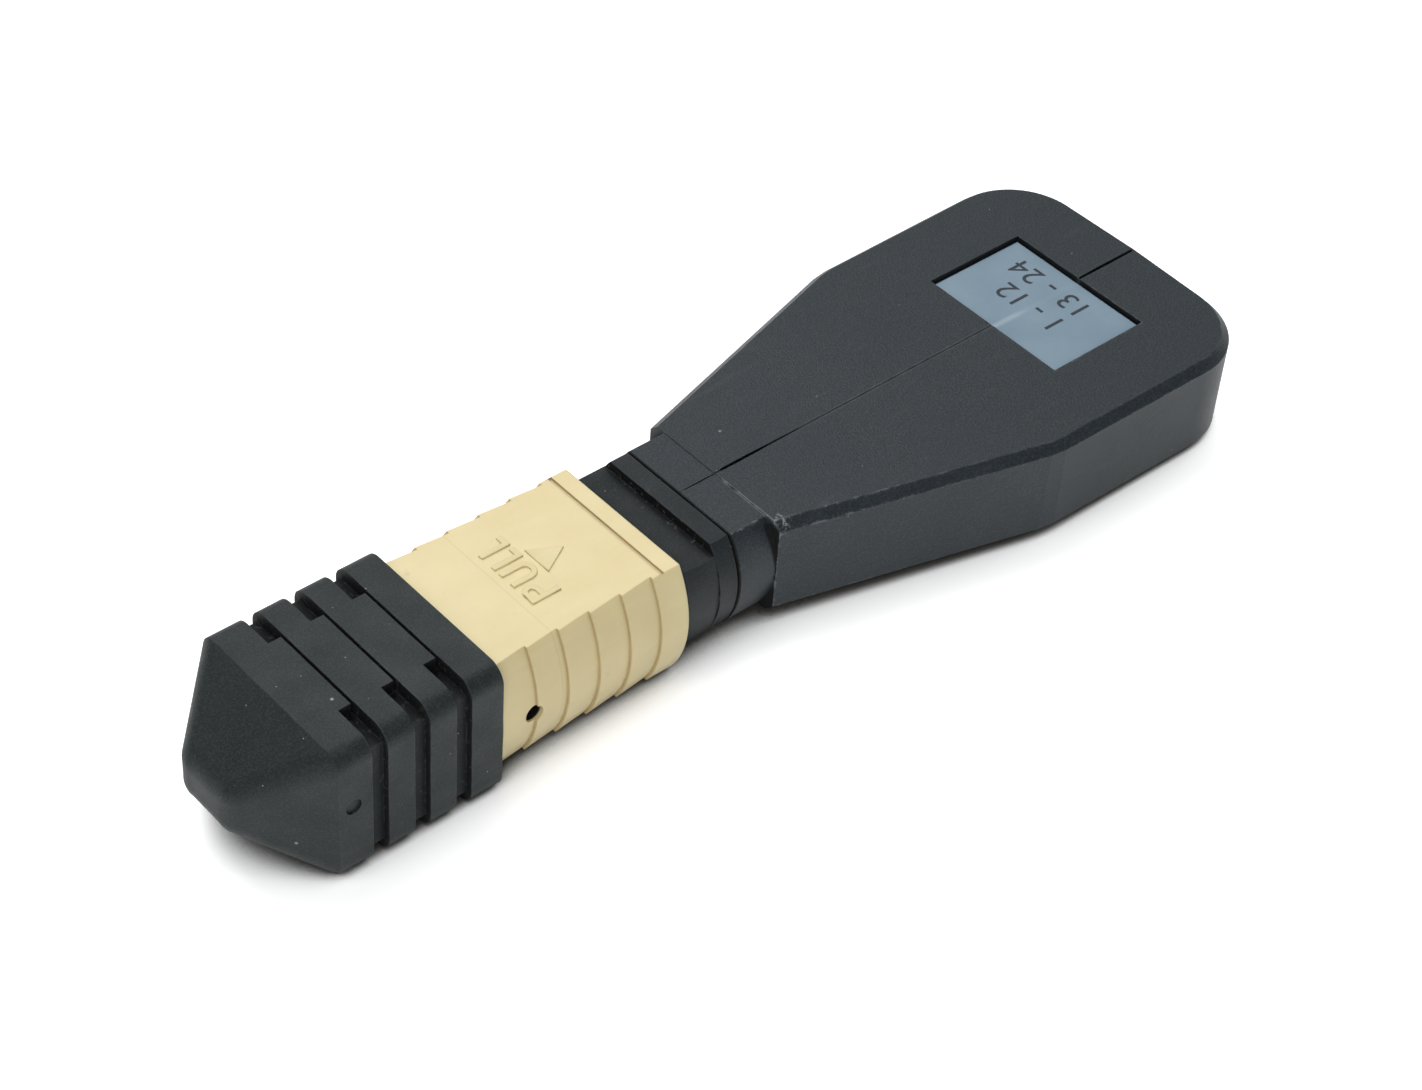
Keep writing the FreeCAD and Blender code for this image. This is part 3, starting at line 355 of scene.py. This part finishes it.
def letter_p(start):
    """A P with a round bowl, and the bowl's hole as a second outline."""
    width = 0.00145
    bowl = 0.00062
    middle = mark_top + bowl
    reach = start + width - bowl
    inner = start + STROKE
    outside = [(mark_top, start), (mark_foot, start), (mark_foot, inner), (middle + bowl, inner),
               *bend(middle, reach, bowl, 0, 180), (mark_top, reach)]
    inside = [(mark_top + STROKE, inner), *bend(middle, reach, bowl - STROKE, 180, 0),
              (middle + bowl - STROKE, inner)]
    return [outside, inside]


def arrow(base, tip, half_width):
    """A triangle below the word that points the way the sleeve is pulled."""
    return [[(mark_foot + base, -half_width), (mark_foot + tip, 0.0), (mark_foot + base, half_width)]]


for name, loops in (
    ("raised_p", letter_p(-0.0028)),
    ("raised_u", letter_u(-0.00102)),
    ("raised_l_one", letter_l(0.00083)),
    ("raised_l_two", letter_l(0.00208)),
    ("raised_arrow", arrow(0.00035, 0.00245, 0.00116)),
):
    mark = flat_outline(name, loops, 2 * MARK_HEIGHT, MARK_SOFT)
    mark.location.z = sleeve_high.z
    mark.data.materials.append(beige_plastic)
    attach(mark, "sleeve")

# --- Plug frame and spring push ----------------------------------------------
# Two glass-filled black mouldings that latch together. The frame enters the
# adapter and hides in the sleeve and cap; the spring push shows as the block
# and stop flange behind the sleeve, smoother than the cap and rubbed on its edges.

PUSH_BLACK = (0.0060, 0.0085, 0.0100)
frame_plastic = moulded_black("glass_filled_plastic", PLASTIC_BLACK, grain_depth=0.000010, low_rough=0.34,
                              high_rough=0.5, dust_share=0.06, shade_reach=0.0006)
# The spring push's painted shade reaches 4 mm, so its block top before the stop flange and the flange's front
# face are painted dark.
push_plastic = moulded_black("spring_push_plastic", PUSH_BLACK, grain_depth=0.000020, low_rough=0.48,
                             high_rough=0.64, dust_share=0.45, shade_reach=0.0040, gloss=0.32)
dress("inner_housing", frame_plastic)
dress("pin_keeper", frame_plastic)
dress("spring_push", push_plastic)

# --- Ferrule -----------------------------------------------------------------
# A precision block in dark mineral-filled resin, ground flat on its face. Two
# rows of twelve fibres end in that face, level with it, between the guide
# pin holes, and a soft boot holds them behind it.

ferrule_low, ferrule_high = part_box("mt_ferrule")


def ground_resin():
    """Mineral-filled resin with fine grinding lines."""
    f = Finish("ground_ferrule_resin")
    speckle = f.noise(16000, 3)
    lines = f.noise(900, 2, f.stretched((1, 0.5, 22)))
    base = f.mixed(f.band(speckle, 0.35, 0.7), (0.030, 0.031, 0.034), (0.085, 0.086, 0.09))
    f.link(base, f.shader.inputs["Base Color"])
    f.link(f.band(lines, 0.3, 0.7, 0.3, 0.46), f.shader.inputs["Roughness"])
    f.relief(f.sum("ADD", speckle, lines), 0.000003, 0.00004)
    return f.material


def soft_rubber():
    """Soft black rubber with a dull bloom."""
    f = Finish("boot_rubber_finish")
    bloom = f.noise(700, 4)
    base = f.mixed(f.band(bloom, 0.35, 0.7), (0.012, 0.012, 0.013), (0.035, 0.035, 0.037))
    f.link(base, f.shader.inputs["Base Color"])
    f.link(f.band(bloom, 0.3, 0.7, 0.62, 0.8), f.shader.inputs["Roughness"])
    f.relief(bloom, 0.00001, 0.00008)
    return f.material


def polished_glass_ends():
    """Polished glass ends, pale and slightly uneven."""
    f = Finish("fibre_end_glass")
    base = f.mixed(f.noise(9000, 1), (0.30, 0.33, 0.36), (0.55, 0.58, 0.6))
    f.link(base, f.shader.inputs["Base Color"])
    f.shader.inputs["Roughness"].default_value = 0.08
    return f.material


dress("mt_ferrule", ground_resin())
dress("ferrule_boot", soft_rubber())

FIBRE_PITCH = 0.00025
FIBRE_GLASS = 0.0000625
ROW_SPACING = 0.0005
END_SIDES = 16
END_PROUD = 0.000003
END_SUNK = 0.00002
middle_z = (ferrule_low.z + ferrule_high.z) / 2
ends = bmesh.new()
for row in (-0.5, 0.5):
    for number in range(12):
        y = (number - 5.5) * FIBRE_PITCH
        z = middle_z + row * ROW_SPACING
        rim = []
        for k in range(END_SIDES):
            angle = 2 * math.pi * k / END_SIDES
            rim.append(Vector((0, y + FIBRE_GLASS * math.cos(angle), z + FIBRE_GLASS * math.sin(angle))))
        front = [ends.verts.new(p + Vector((ferrule_low.x - END_PROUD, 0, 0))) for p in rim]
        back = [ends.verts.new(p + Vector((ferrule_low.x + END_SUNK, 0, 0))) for p in rim]
        ends.faces.new(front[::-1])
        ends.faces.new(back)
        for k in range(END_SIDES):
            after = (k + 1) % END_SIDES
            ends.faces.new((front[k], front[after], back[after], back[k]))
end_mesh = bpy.data.meshes.new("fibre_ends")
bmesh.ops.recalc_face_normals(ends, faces=ends.faces)
ends.to_mesh(end_mesh)
ends.free()
fibre_ends = bpy.data.objects.new("fibre_ends", end_mesh)
bpy.context.scene.collection.objects.link(fibre_ends)
fibre_ends.data.materials.append(polished_glass_ends())
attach(fibre_ends, "ferrule")

# --- Springs -----------------------------------------------------------------
# Cold-wound steel wire: one oval coil that floats the ferrule, and a small
# round coil in each side groove of the plug frame that returns the sleeve.


def drawn_steel():
    """Drawn wire with fine lengthwise marks."""
    f = Finish("spring_wire")
    marks = f.noise(2600, 3)
    base = f.mixed(marks, (0.42, 0.42, 0.43), (0.66, 0.66, 0.67))
    f.link(base, f.shader.inputs["Base Color"])
    f.shader.inputs["Metallic"].default_value = 1.0
    f.link(f.band(marks, 0.3, 0.7, 0.22, 0.4), f.shader.inputs["Roughness"])
    return f.material


wire_steel = drawn_steel()


def wound_coil(name, low, high, wire, turns):
    """Coil along X that fills the box of the solid that it stands for."""
    bend_radius = (high.z - low.z) / 2 - wire
    straight = (high.y - low.y) / 2 - wire - bend_radius
    centre = (low + high) / 2
    start = low.x + wire
    pitch = (high.x - low.x - 2 * wire) / turns
    loop = []
    steps = 16
    for side in (1, -1):
        for k in range(steps + 1):
            angle = math.pi * k / steps - math.pi / 2
            y = straight + bend_radius * math.cos(angle)
            loop.append((side * y, side * bend_radius * math.sin(angle)))
    lengths = [math.dist(loop[k], loop[(k + 1) % len(loop)]) for k in range(len(loop))]
    curve = bpy.data.curves.new(name, "CURVE")
    curve.dimensions = "3D"
    curve.bevel_depth = wire
    curve.bevel_resolution = 4
    curve.use_fill_caps = True
    spline = curve.splines.new("POLY")
    points = []
    along = 0.0
    for k in range(turns * len(loop)):
        y, z = loop[k % len(loop)]
        points.append((start + pitch * along / sum(lengths), centre.y + y, centre.z + z, 1))
        along += lengths[k % len(loop)]
    spline.points.add(len(points) - 1)
    for point, place in zip(spline.points, points):
        point.co = place
    shape = bpy.data.objects.new(name, curve)
    bpy.context.scene.collection.objects.link(shape)
    bpy.context.view_layer.update()
    mesh = bpy.data.meshes.new_from_object(shape.evaluated_get(bpy.context.evaluated_depsgraph_get()))
    bpy.data.objects.remove(shape)
    weld(mesh)
    coil = bpy.data.objects.new(name, mesh)
    bpy.context.scene.collection.objects.link(coil)
    mesh.materials.clear()
    mesh.materials.append(wire_steel)
    mesh.polygons.foreach_set("use_smooth", [True] * len(mesh.polygons))
    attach(coil, "plug")
    return coil


for side in ("left", "right"):
    low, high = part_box("sleeve_spring_" + side)
    coil = wound_coil("sleeve_coil_" + side, low, high, wire=0.0001, turns=5)
    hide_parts("sleeve_spring_" + side)
    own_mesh(coil)

low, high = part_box("ferrule_spring")
coil = wound_coil("ferrule_coil", low, high, wire=0.000225, turns=5)
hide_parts("ferrule_spring")
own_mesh(coil)

# --- Loopback body -----------------------------------------------------------
# Two hollow halves in black ABS, pinned and glued along the seam that runs
# down the middle. The flat faces are grained, the seam is a dark line, and the
# shoulders carry pale rub marks where the plug is gripped.

body_low, body_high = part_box("shell_right")
CHALKED = (0.30, 0.31, 0.31)
GLUE_GREY = (0.060, 0.068, 0.074)
GAP_SHADE = (0.0015, 0.002, 0.0025)
NECK_LENGTH = 0.00295
NECK_DROP = 0.00005
shoulder = body_low.x + NECK_LENGTH
near_corner = Vector((shoulder + 0.0002, -0.00575, body_high.z - 0.0002))


def chalky_wear(f, base):
    """Pale wear on the near half: on the step behind the neck, at a knocked corner and on the rims."""
    along, across, up = f.coordinates()
    near_half = f.band(across, -0.0002, -0.0004)
    on_top = f.band(up, body_high.z - 0.0005, body_high.z - 0.0001)
    flecks = f.band(f.noise(1500, 5, roughness=0.7), 0.36, 0.56)
    off_shoulder = f.sum("ABSOLUTE", f.sum("SUBTRACT", along, shoulder), 0.0)
    step = f.sum("MULTIPLY", f.band(off_shoulder, 0.00012, 0.00005), f.sum("MULTIPLY", near_half, on_top))
    base = f.mixed(f.sum("MULTIPLY", f.sum("MULTIPLY", step, flecks), 0.45), base, CHALKED)
    to_corner = f.node("ShaderNodeVectorMath", operation="DISTANCE")
    f.link(f.place, to_corner.inputs[0])
    to_corner.inputs[1].default_value = near_corner
    knocked = f.band(to_corner.outputs["Value"], 0.0010, 0.0004)
    chips = f.noise(2400, 5, f.stretched((1, 0.6, 1)), roughness=0.7)
    knocked = f.sum("MULTIPLY", knocked, f.band(chips, 0.53, 0.60))
    base = f.mixed(f.sum("MULTIPLY", knocked, 0.9), base, CHALKED)
    rim = f.sum("MULTIPLY", f.worn_edge(0.0003), f.band(f.noise(1900, 6, roughness=0.75), 0.50, 0.58))
    gripped = f.band(along, 0.014, 0.004, 0.25, 1.0)
    rim = f.sum("MULTIPLY", rim, f.sum("MULTIPLY", near_half, gripped))
    return f.mixed(f.sum("MULTIPLY", rim, 0.8), base, CHALKED)


def glued_line(f, base):
    """A faint grey line of glue where the halves meet, from behind the shoulder to before the rear."""
    along, across = f.coordinates()[:2]
    glued = f.band(along, shoulder + 0.0055, shoulder + 0.0085)
    glued = f.sum("MULTIPLY", glued, f.band(f.sum("ABSOLUTE", across, 0.0), 0.00018, 0.00010))
    glued = f.sum("MULTIPLY", glued, f.band(f.noise(900, 4), 0.40, 0.62, 0.45, 1.0))
    before_rear = f.band(along, body_high.x - 0.0040, body_high.x - 0.0060)
    return f.mixed(f.sum("MULTIPLY", glued, before_rear), base, GLUE_GREY)


def body_painted_shade(f):
    """How much painted shade the surface gets: in its corners, beside the neck at the shoulder, and along the
    neck's front edge.
    """
    along, across, up = f.coordinates()
    off_seam = f.sum("ABSOLUTE", across, 0.0)
    closed = f.sum("MULTIPLY", f.crevice(0.0010), f.band(off_seam, 0.0002, 0.0005, 0.10, 1.0))
    # Painted shade beside the neck, just ahead of the shoulder on the near side, where the neck's side falls
    # away from it; it widens towards the top and the foot of the shoulder.
    ahead = f.sum("SUBTRACT", shoulder, along)
    towards_top = f.band(up, body_high.z - 0.0045, body_high.z - 0.0007, 0.0, 0.00045)
    towards_foot = f.band(up, body_low.z + 0.0022, body_low.z + 0.0006, 0.0, 0.00055)
    shade_width = f.sum("MAXIMUM", towards_top, towards_foot)
    gap = f.band(f.sum("SUBTRACT", ahead, shade_width), 0.0, -0.00006)
    gap = f.sum("MULTIPLY", gap, f.band(ahead, -0.00003, -0.00001))
    gap = f.sum("MULTIPLY", gap, f.band(across, -0.0045, -0.0047))
    gap = f.sum("MULTIPLY", gap, f.band(up, body_high.z - 0.0003, body_high.z - 0.0005))
    closed = f.sum("MAXIMUM", closed, gap)
    # Painted shade: the neck's first 0.1 mm is darkened, so a dark line stands between it and the stop
    # flange.
    flange_line_shade = f.band(along, body_low.x + 0.00015, body_low.x + 0.00010)
    return f.sum("MAXIMUM", closed, flange_line_shade)


def body_plastic():
    """Black ABS with flow cloudiness, long soft scuffs, pale rubbing at the shoulder and painted shade in its
    corners and gaps.
    """
    f = Finish("body_shell_plastic")
    cloud = f.noise(120, 4)
    grain = f.noise(7400, 2, roughness=0.7)
    scuffs = f.band(f.noise(240, 4, f.stretched((1, 5, 5))), 0.62, 0.74)
    base = f.mixed(f.band(cloud, 0.35, 0.7), PLASTIC_BLACK, tuple(1.3 * c for c in PLASTIC_BLACK))
    base = f.mixed(f.band(grain, 0.46, 0.66), base, tuple(3.0 * c for c in PLASTIC_BLACK))
    rubbed = f.sum("MULTIPLY", f.worn_edge(0.0002), f.band(f.noise(700, 4), 0.40, 0.66))
    base = f.mixed(f.sum("MULTIPLY", rubbed, 0.8), base, RUBBED_BLACK)
    base = f.mixed(f.sum("MULTIPLY", scuffs, 0.18), base, RUBBED_BLACK)
    dust = f.sum("MAXIMUM", f.specks(0.0026, 0.00014, 0.10), f.specks(0.0011, 0.00006, 0.12))
    base = f.mixed(f.sum("MULTIPLY", dust, 0.6), base, DUST)
    base = chalky_wear(f, base)
    base = glued_line(f, base)
    closed = body_painted_shade(f)
    # Painted shade: near-black in the corners, beside the shoulder and along the neck's front edge.
    base = f.mixed(f.sum("MULTIPLY", closed, 0.95), base, GAP_SHADE)
    f.link(base, f.shader.inputs["Base Color"])
    rough = f.sum("ADD", f.band(cloud, 0.3, 0.75, 0.42, 0.54), f.band(grain, 0.2, 0.8, -0.06, 0.06))
    f.link(f.sum("ADD", rough, f.sum("MULTIPLY", closed, 0.4)), f.shader.inputs["Roughness"])
    f.shader.inputs["Specular IOR Level"].default_value = 0.38
    f.relief(f.sum("ADD", grain, f.sum("MULTIPLY", cloud, 0.4)), 0.000038, 0.00010)
    return f.material


shell_plastic = body_plastic()
dress("shell_left", shell_plastic)
dress("shell_right", shell_plastic)


def seam_shadow():
    """Painted shade of the open seam: lightless, with a little lint in it."""
    f = Finish("seam_shade")
    lint = f.band(f.noise(2500, 3), 0.5, 0.8)
    base = f.mixed(lint, (0.0012, 0.0014, 0.0018), (0.008, 0.009, 0.010))
    f.link(base, f.shader.inputs["Base Color"])
    f.shader.inputs["Roughness"].default_value = 1.0
    f.shader.inputs["Specular IOR Level"].default_value = 0.0
    return f.material


# The halves stand a little apart on the neck, behind the shoulder and behind the label; near-black strips lie
# there as the gap's painted shade.
# Each course is a few distances along the body, with half the gap's width there.
SEAM_LIFT = 0.000006
WOBBLE = 0.00001
WAVES = 9000
NECK_COURSE = ((-0.002475, 0.00003), (-0.001375, 0.00005), (-0.000575, 0.00004), (-0.000055, 0.00003))
SHOULDER_COURSE = ((0.000475, 0.00004), (0.000725, 0.00010), (0.002125, 0.00011), (0.003525, 0.00010),
                   (0.004925, 0.00004), (0.006925, 0.000012))
LABEL_COURSE = ((0.000245, 0.00010), (0.002125, 0.00011), (0.004625, 0.00010), (0.005375, 0.00009))
seam_shade = seam_shadow()
label_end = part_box("label")[1].x
for name, start, level, course in (
    ("seam_on_neck", shoulder, -NECK_DROP, NECK_COURSE),
    ("seam_at_shoulder", shoulder, 0.0, SHOULDER_COURSE),
    ("seam_behind_label", label_end, 0.0, LABEL_COURSE),
):
    strip = bmesh.new()
    rings = []
    for along, half in course:
        x = start + along
        wobble = WOBBLE * math.sin(WAVES * x)
        corners = ((-half, -SEAM_LIFT), (half, -SEAM_LIFT), (half, SEAM_LIFT), (-half, SEAM_LIFT))
        rings.append([strip.verts.new((x, y + wobble, body_high.z + level + z)) for y, z in corners])
    for first, second in zip(rings, rings[1:]):
        for k in range(4):
            strip.faces.new((first[k], first[(k + 1) % 4], second[(k + 1) % 4], second[k]))
    strip.faces.new(rings[0][::-1])
    strip.faces.new(rings[-1])
    bmesh.ops.recalc_face_normals(strip, faces=strip.faces)
    strip_mesh = bpy.data.meshes.new(name)
    strip.to_mesh(strip_mesh)
    strip.free()
    seam = bpy.data.objects.new(name, strip_mesh)
    bpy.context.scene.collection.objects.link(seam)
    strip_mesh.materials.append(seam_shade)
    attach(seam, "plug")

# --- Label -------------------------------------------------------------------
# A thin grey-blue film with a matt face, pressed into its recess. It lies
# across the seam, so a pale crease runs down its middle, and it carries the
# numbers of the fibres in dark print.

label_low, label_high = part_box("label")
CREASE_PALE = (0.42, 0.50, 0.56)


def printed_film():
    """Grey-blue film with a pale crease along the seam and slight mottling."""
    f = Finish("label_film_finish")
    mottle = f.noise(260, 4)
    fine = f.noise(2400, 3)
    base = f.mixed(f.band(mottle, 0.3, 0.7), (0.182, 0.262, 0.335), (0.222, 0.310, 0.388))
    along, across = f.coordinates()[:2]
    wander = f.sum("MULTIPLY", f.sum("SUBTRACT", f.noise(500, 2), 0.5), 0.0003)
    off_seam = f.sum("ABSOLUTE", f.sum("ADD", across, wander), 0.0)
    fading = f.band(along, label_low.x + 0.0022, label_low.x + 0.0034, 1.0, 0.12)
    crease = f.sum("MULTIPLY", f.band(off_seam, 0.00030, 0.00006), fading)
    base = f.mixed(f.sum("MULTIPLY", crease, 0.5), base, CREASE_PALE)
    f.link(base, f.shader.inputs["Base Color"])
    f.link(f.band(fine, 0.3, 0.7, 0.34, 0.5), f.shader.inputs["Roughness"])
    f.relief(f.sum("ADD", crease, f.sum("MULTIPLY", fine, 0.2)), 0.00002, 0.00005)
    return f.material


def printed_ink():
    """Dark print, slightly uneven."""
    f = Finish("label_ink")
    base = f.mixed(f.noise(5200, 3), (0.006, 0.010, 0.017), (0.022, 0.032, 0.048))
    f.link(base, f.shader.inputs["Base Color"])
    f.shader.inputs["Roughness"].default_value = 0.45
    return f.material


dress("label", printed_film())
ink = printed_ink()
INK_THICK = 0.000012
PRINT_HEIGHT = 0.0024
PRINT_START = -0.0028
for name, words, row in (
    ("numbers_first_row", "1 - 12", label_low.x + 0.0036),
    ("numbers_second_row", "13 - 24", label_low.x + 0.0061),
):
    text = bpy.data.curves.new(name, "FONT")
    text.body = words
    text.size = PRINT_HEIGHT
    text.extrude = INK_THICK / 2
    text.align_x = "LEFT"
    text.align_y = "CENTER"
    line = bpy.data.objects.new(name, text)
    bpy.context.scene.collection.objects.link(line)
    line.location = (row, PRINT_START, label_high.z + INK_THICK / 2)
    line.rotation_euler = (0, 0, math.radians(90))
    bpy.context.view_layer.update()
    mesh = bpy.data.meshes.new_from_object(line.evaluated_get(bpy.context.evaluated_depsgraph_get()))
    mesh.transform(line.matrix_world)
    bpy.data.objects.remove(line)
    weld(mesh)
    printed = bpy.data.objects.new(name, mesh)
    bpy.context.scene.collection.objects.link(printed)
    mesh.materials.clear()
    mesh.materials.append(ink)
    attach(printed, "plug")

# --- Fibre loops -------------------------------------------------------------
# Twelve coated glass fibres that leave the boot in two ribbons, turn back
# round the inside of the body and return to the ribbon beside themselves.


def aqua_coating():
    """Aqua acrylate over glass, glossy and faintly uneven."""
    f = Finish("aqua_fibre_coating")
    base = f.mixed(f.noise(800, 3), (0.08, 0.50, 0.52), (0.14, 0.62, 0.62))
    f.link(base, f.shader.inputs["Base Color"])
    f.shader.inputs["Roughness"].default_value = 0.18
    f.shader.inputs["Coat Weight"].default_value = 0.4
    return f.material


fibre_finish = aqua_coating()
for name in sorted(node):
    if name.startswith("fibre_loop_"):
        dress(name, fibre_finish)

# --- Table, light and view ---------------------------------------------------
# The plug lies on a plain white table, on the lower edge of its cap and on
# the rear of its body, which is thinner, so the table falls away under the cap.

REAR_BEVEL = 0.0006
TABLE_REACH = 1.6
TABLE_DROP = 0.00001
TABLE_GLOW = 0.62
CONTACT_SHADOW = (0.09, 0.085, 0.075)
contact_cap = Vector((cap_high.x, 0, cap_low.z))
contact_body = Vector((body_high.x - REAR_BEVEL, 0, body_low.z))
slope = math.atan2(contact_body.z - contact_cap.z, contact_body.x - contact_cap.x)


def white_table_top():
    """Matt white board that glows a little to the eye, with a painted shadow close under the plug: darker
    colour and less glow there.
    """
    f = Finish("white_table")
    f.shader.inputs["Roughness"].default_value = 0.75
    f.shader.inputs["Specular IOR Level"].default_value = 0.2
    base = f.mixed(f.noise(30, 3), (0.87, 0.87, 0.87), (0.885, 0.885, 0.885))
    rays = f.node("ShaderNodeLightPath")
    seen = f.sum("MAXIMUM", rays.outputs["Is Camera Ray"], rays.outputs["Is Glossy Ray"])
    seen = f.sum("MAXIMUM", seen, rays.outputs["Is Transmission Ray"])
    # Painted shadow: close under the plug the colour turns dark and the glow fades.
    under = f.node("ShaderNodeAmbientOcclusion", samples=16)
    under.inputs["Distance"].default_value = 0.009
    in_open = f.band(under.outputs["AO"], 0.30, 0.62)
    base = f.mixed(f.band(under.outputs["AO"], 0.48, 0.26), base, CONTACT_SHADOW)
    f.link(base, f.shader.inputs["Base Color"])
    glow = f.node("ShaderNodeEmission")
    f.link(f.sum("MULTIPLY", f.sum("MULTIPLY", seen, in_open), TABLE_GLOW), glow.inputs["Strength"])
    both = f.node("ShaderNodeAddShader")
    f.link(f.shader.outputs["BSDF"], both.inputs[0])
    f.link(glow.outputs["Emission"], both.inputs[1])
    f.link(both.outputs["Shader"], f.tree.nodes["Material Output"].inputs["Surface"])
    return f.material


board = bmesh.new()
for x, y in ((-1, -1), (1, -1), (1, 1), (-1, 1)):
    along = x * TABLE_REACH
    corner = contact_cap + Vector((along * math.cos(slope), y * TABLE_REACH, along * math.sin(slope)))
    board.verts.new(corner - Vector((0, 0, TABLE_DROP)))
board.faces.new(board.verts)
table_mesh = bpy.data.meshes.new("table")
board.to_mesh(table_mesh)
board.free()
table = bpy.data.objects.new("table", table_mesh)
table.data.materials.append(white_table_top())
bpy.context.scene.collection.objects.link(table)


def softbox(name, place, aim, width, height, power):
    """A large flat lamp that faces a point."""
    lamp = bpy.data.lights.new(name, "AREA")
    lamp.shape = "RECTANGLE"
    lamp.size = width
    lamp.size_y = height
    lamp.energy = power
    holder = bpy.data.objects.new(name, lamp)
    holder.location = place
    holder.rotation_euler = (Vector(aim) - Vector(place)).to_track_quat("-Z", "Y").to_euler()
    bpy.context.scene.collection.objects.link(holder)


softbox("key_softbox", place=(0.07, 0.33, 0.60), aim=(0, 0, 0), width=0.55, height=0.45, power=3.0)
softbox("fill_softbox", place=(-0.35, -0.40, 0.45), aim=(0, 0, 0), width=0.5, height=0.5, power=1.8)

# The room is pale, brighter towards its windows behind the plug and dimmer in front of it.
WINDOWS = (0.60, 0.60, 0.53)
DIM_SIDE = 0.16
BRIGHT_SIDE = 0.44
world = bpy.data.worlds.new("pale_room")
world.use_nodes = True
room = world.node_tree.nodes["Background"]
room.inputs["Color"].default_value = (0.94, 0.99, 1.0, 1)
heading = world.node_tree.nodes.new("ShaderNodeTexCoord")
towards = world.node_tree.nodes.new("ShaderNodeVectorMath")
towards.operation = "DOT_PRODUCT"
towards.inputs[1].default_value = WINDOWS
strength = world.node_tree.nodes.new("ShaderNodeMapRange")
strength.inputs["To Min"].default_value = DIM_SIDE
strength.inputs["To Max"].default_value = BRIGHT_SIDE
world.node_tree.links.new(heading.outputs["Generated"], towards.inputs[0])
world.node_tree.links.new(towards.outputs["Value"], strength.inputs["Value"])
world.node_tree.links.new(strength.outputs["Result"], room.inputs["Strength"])
bpy.context.scene.world = world

# The camera stands 0.2 m off, before the nose on the near side, and looks down on the plug.
view = bpy.data.cameras.new("camera")
view.sensor_width = 36
view.lens = 80.63
view.clip_start = 0.01
view.clip_end = 20
camera = bpy.data.objects.new("camera", view)
camera.location = (-0.10350, -0.10699, 0.14048)
camera.rotation_euler = (math.radians(47.102), math.radians(-3.356), math.radians(-40.957))
bpy.context.scene.collection.objects.link(camera)
bpy.context.scene.camera = camera
bpy.context.scene.view_settings.view_transform = "Standard"
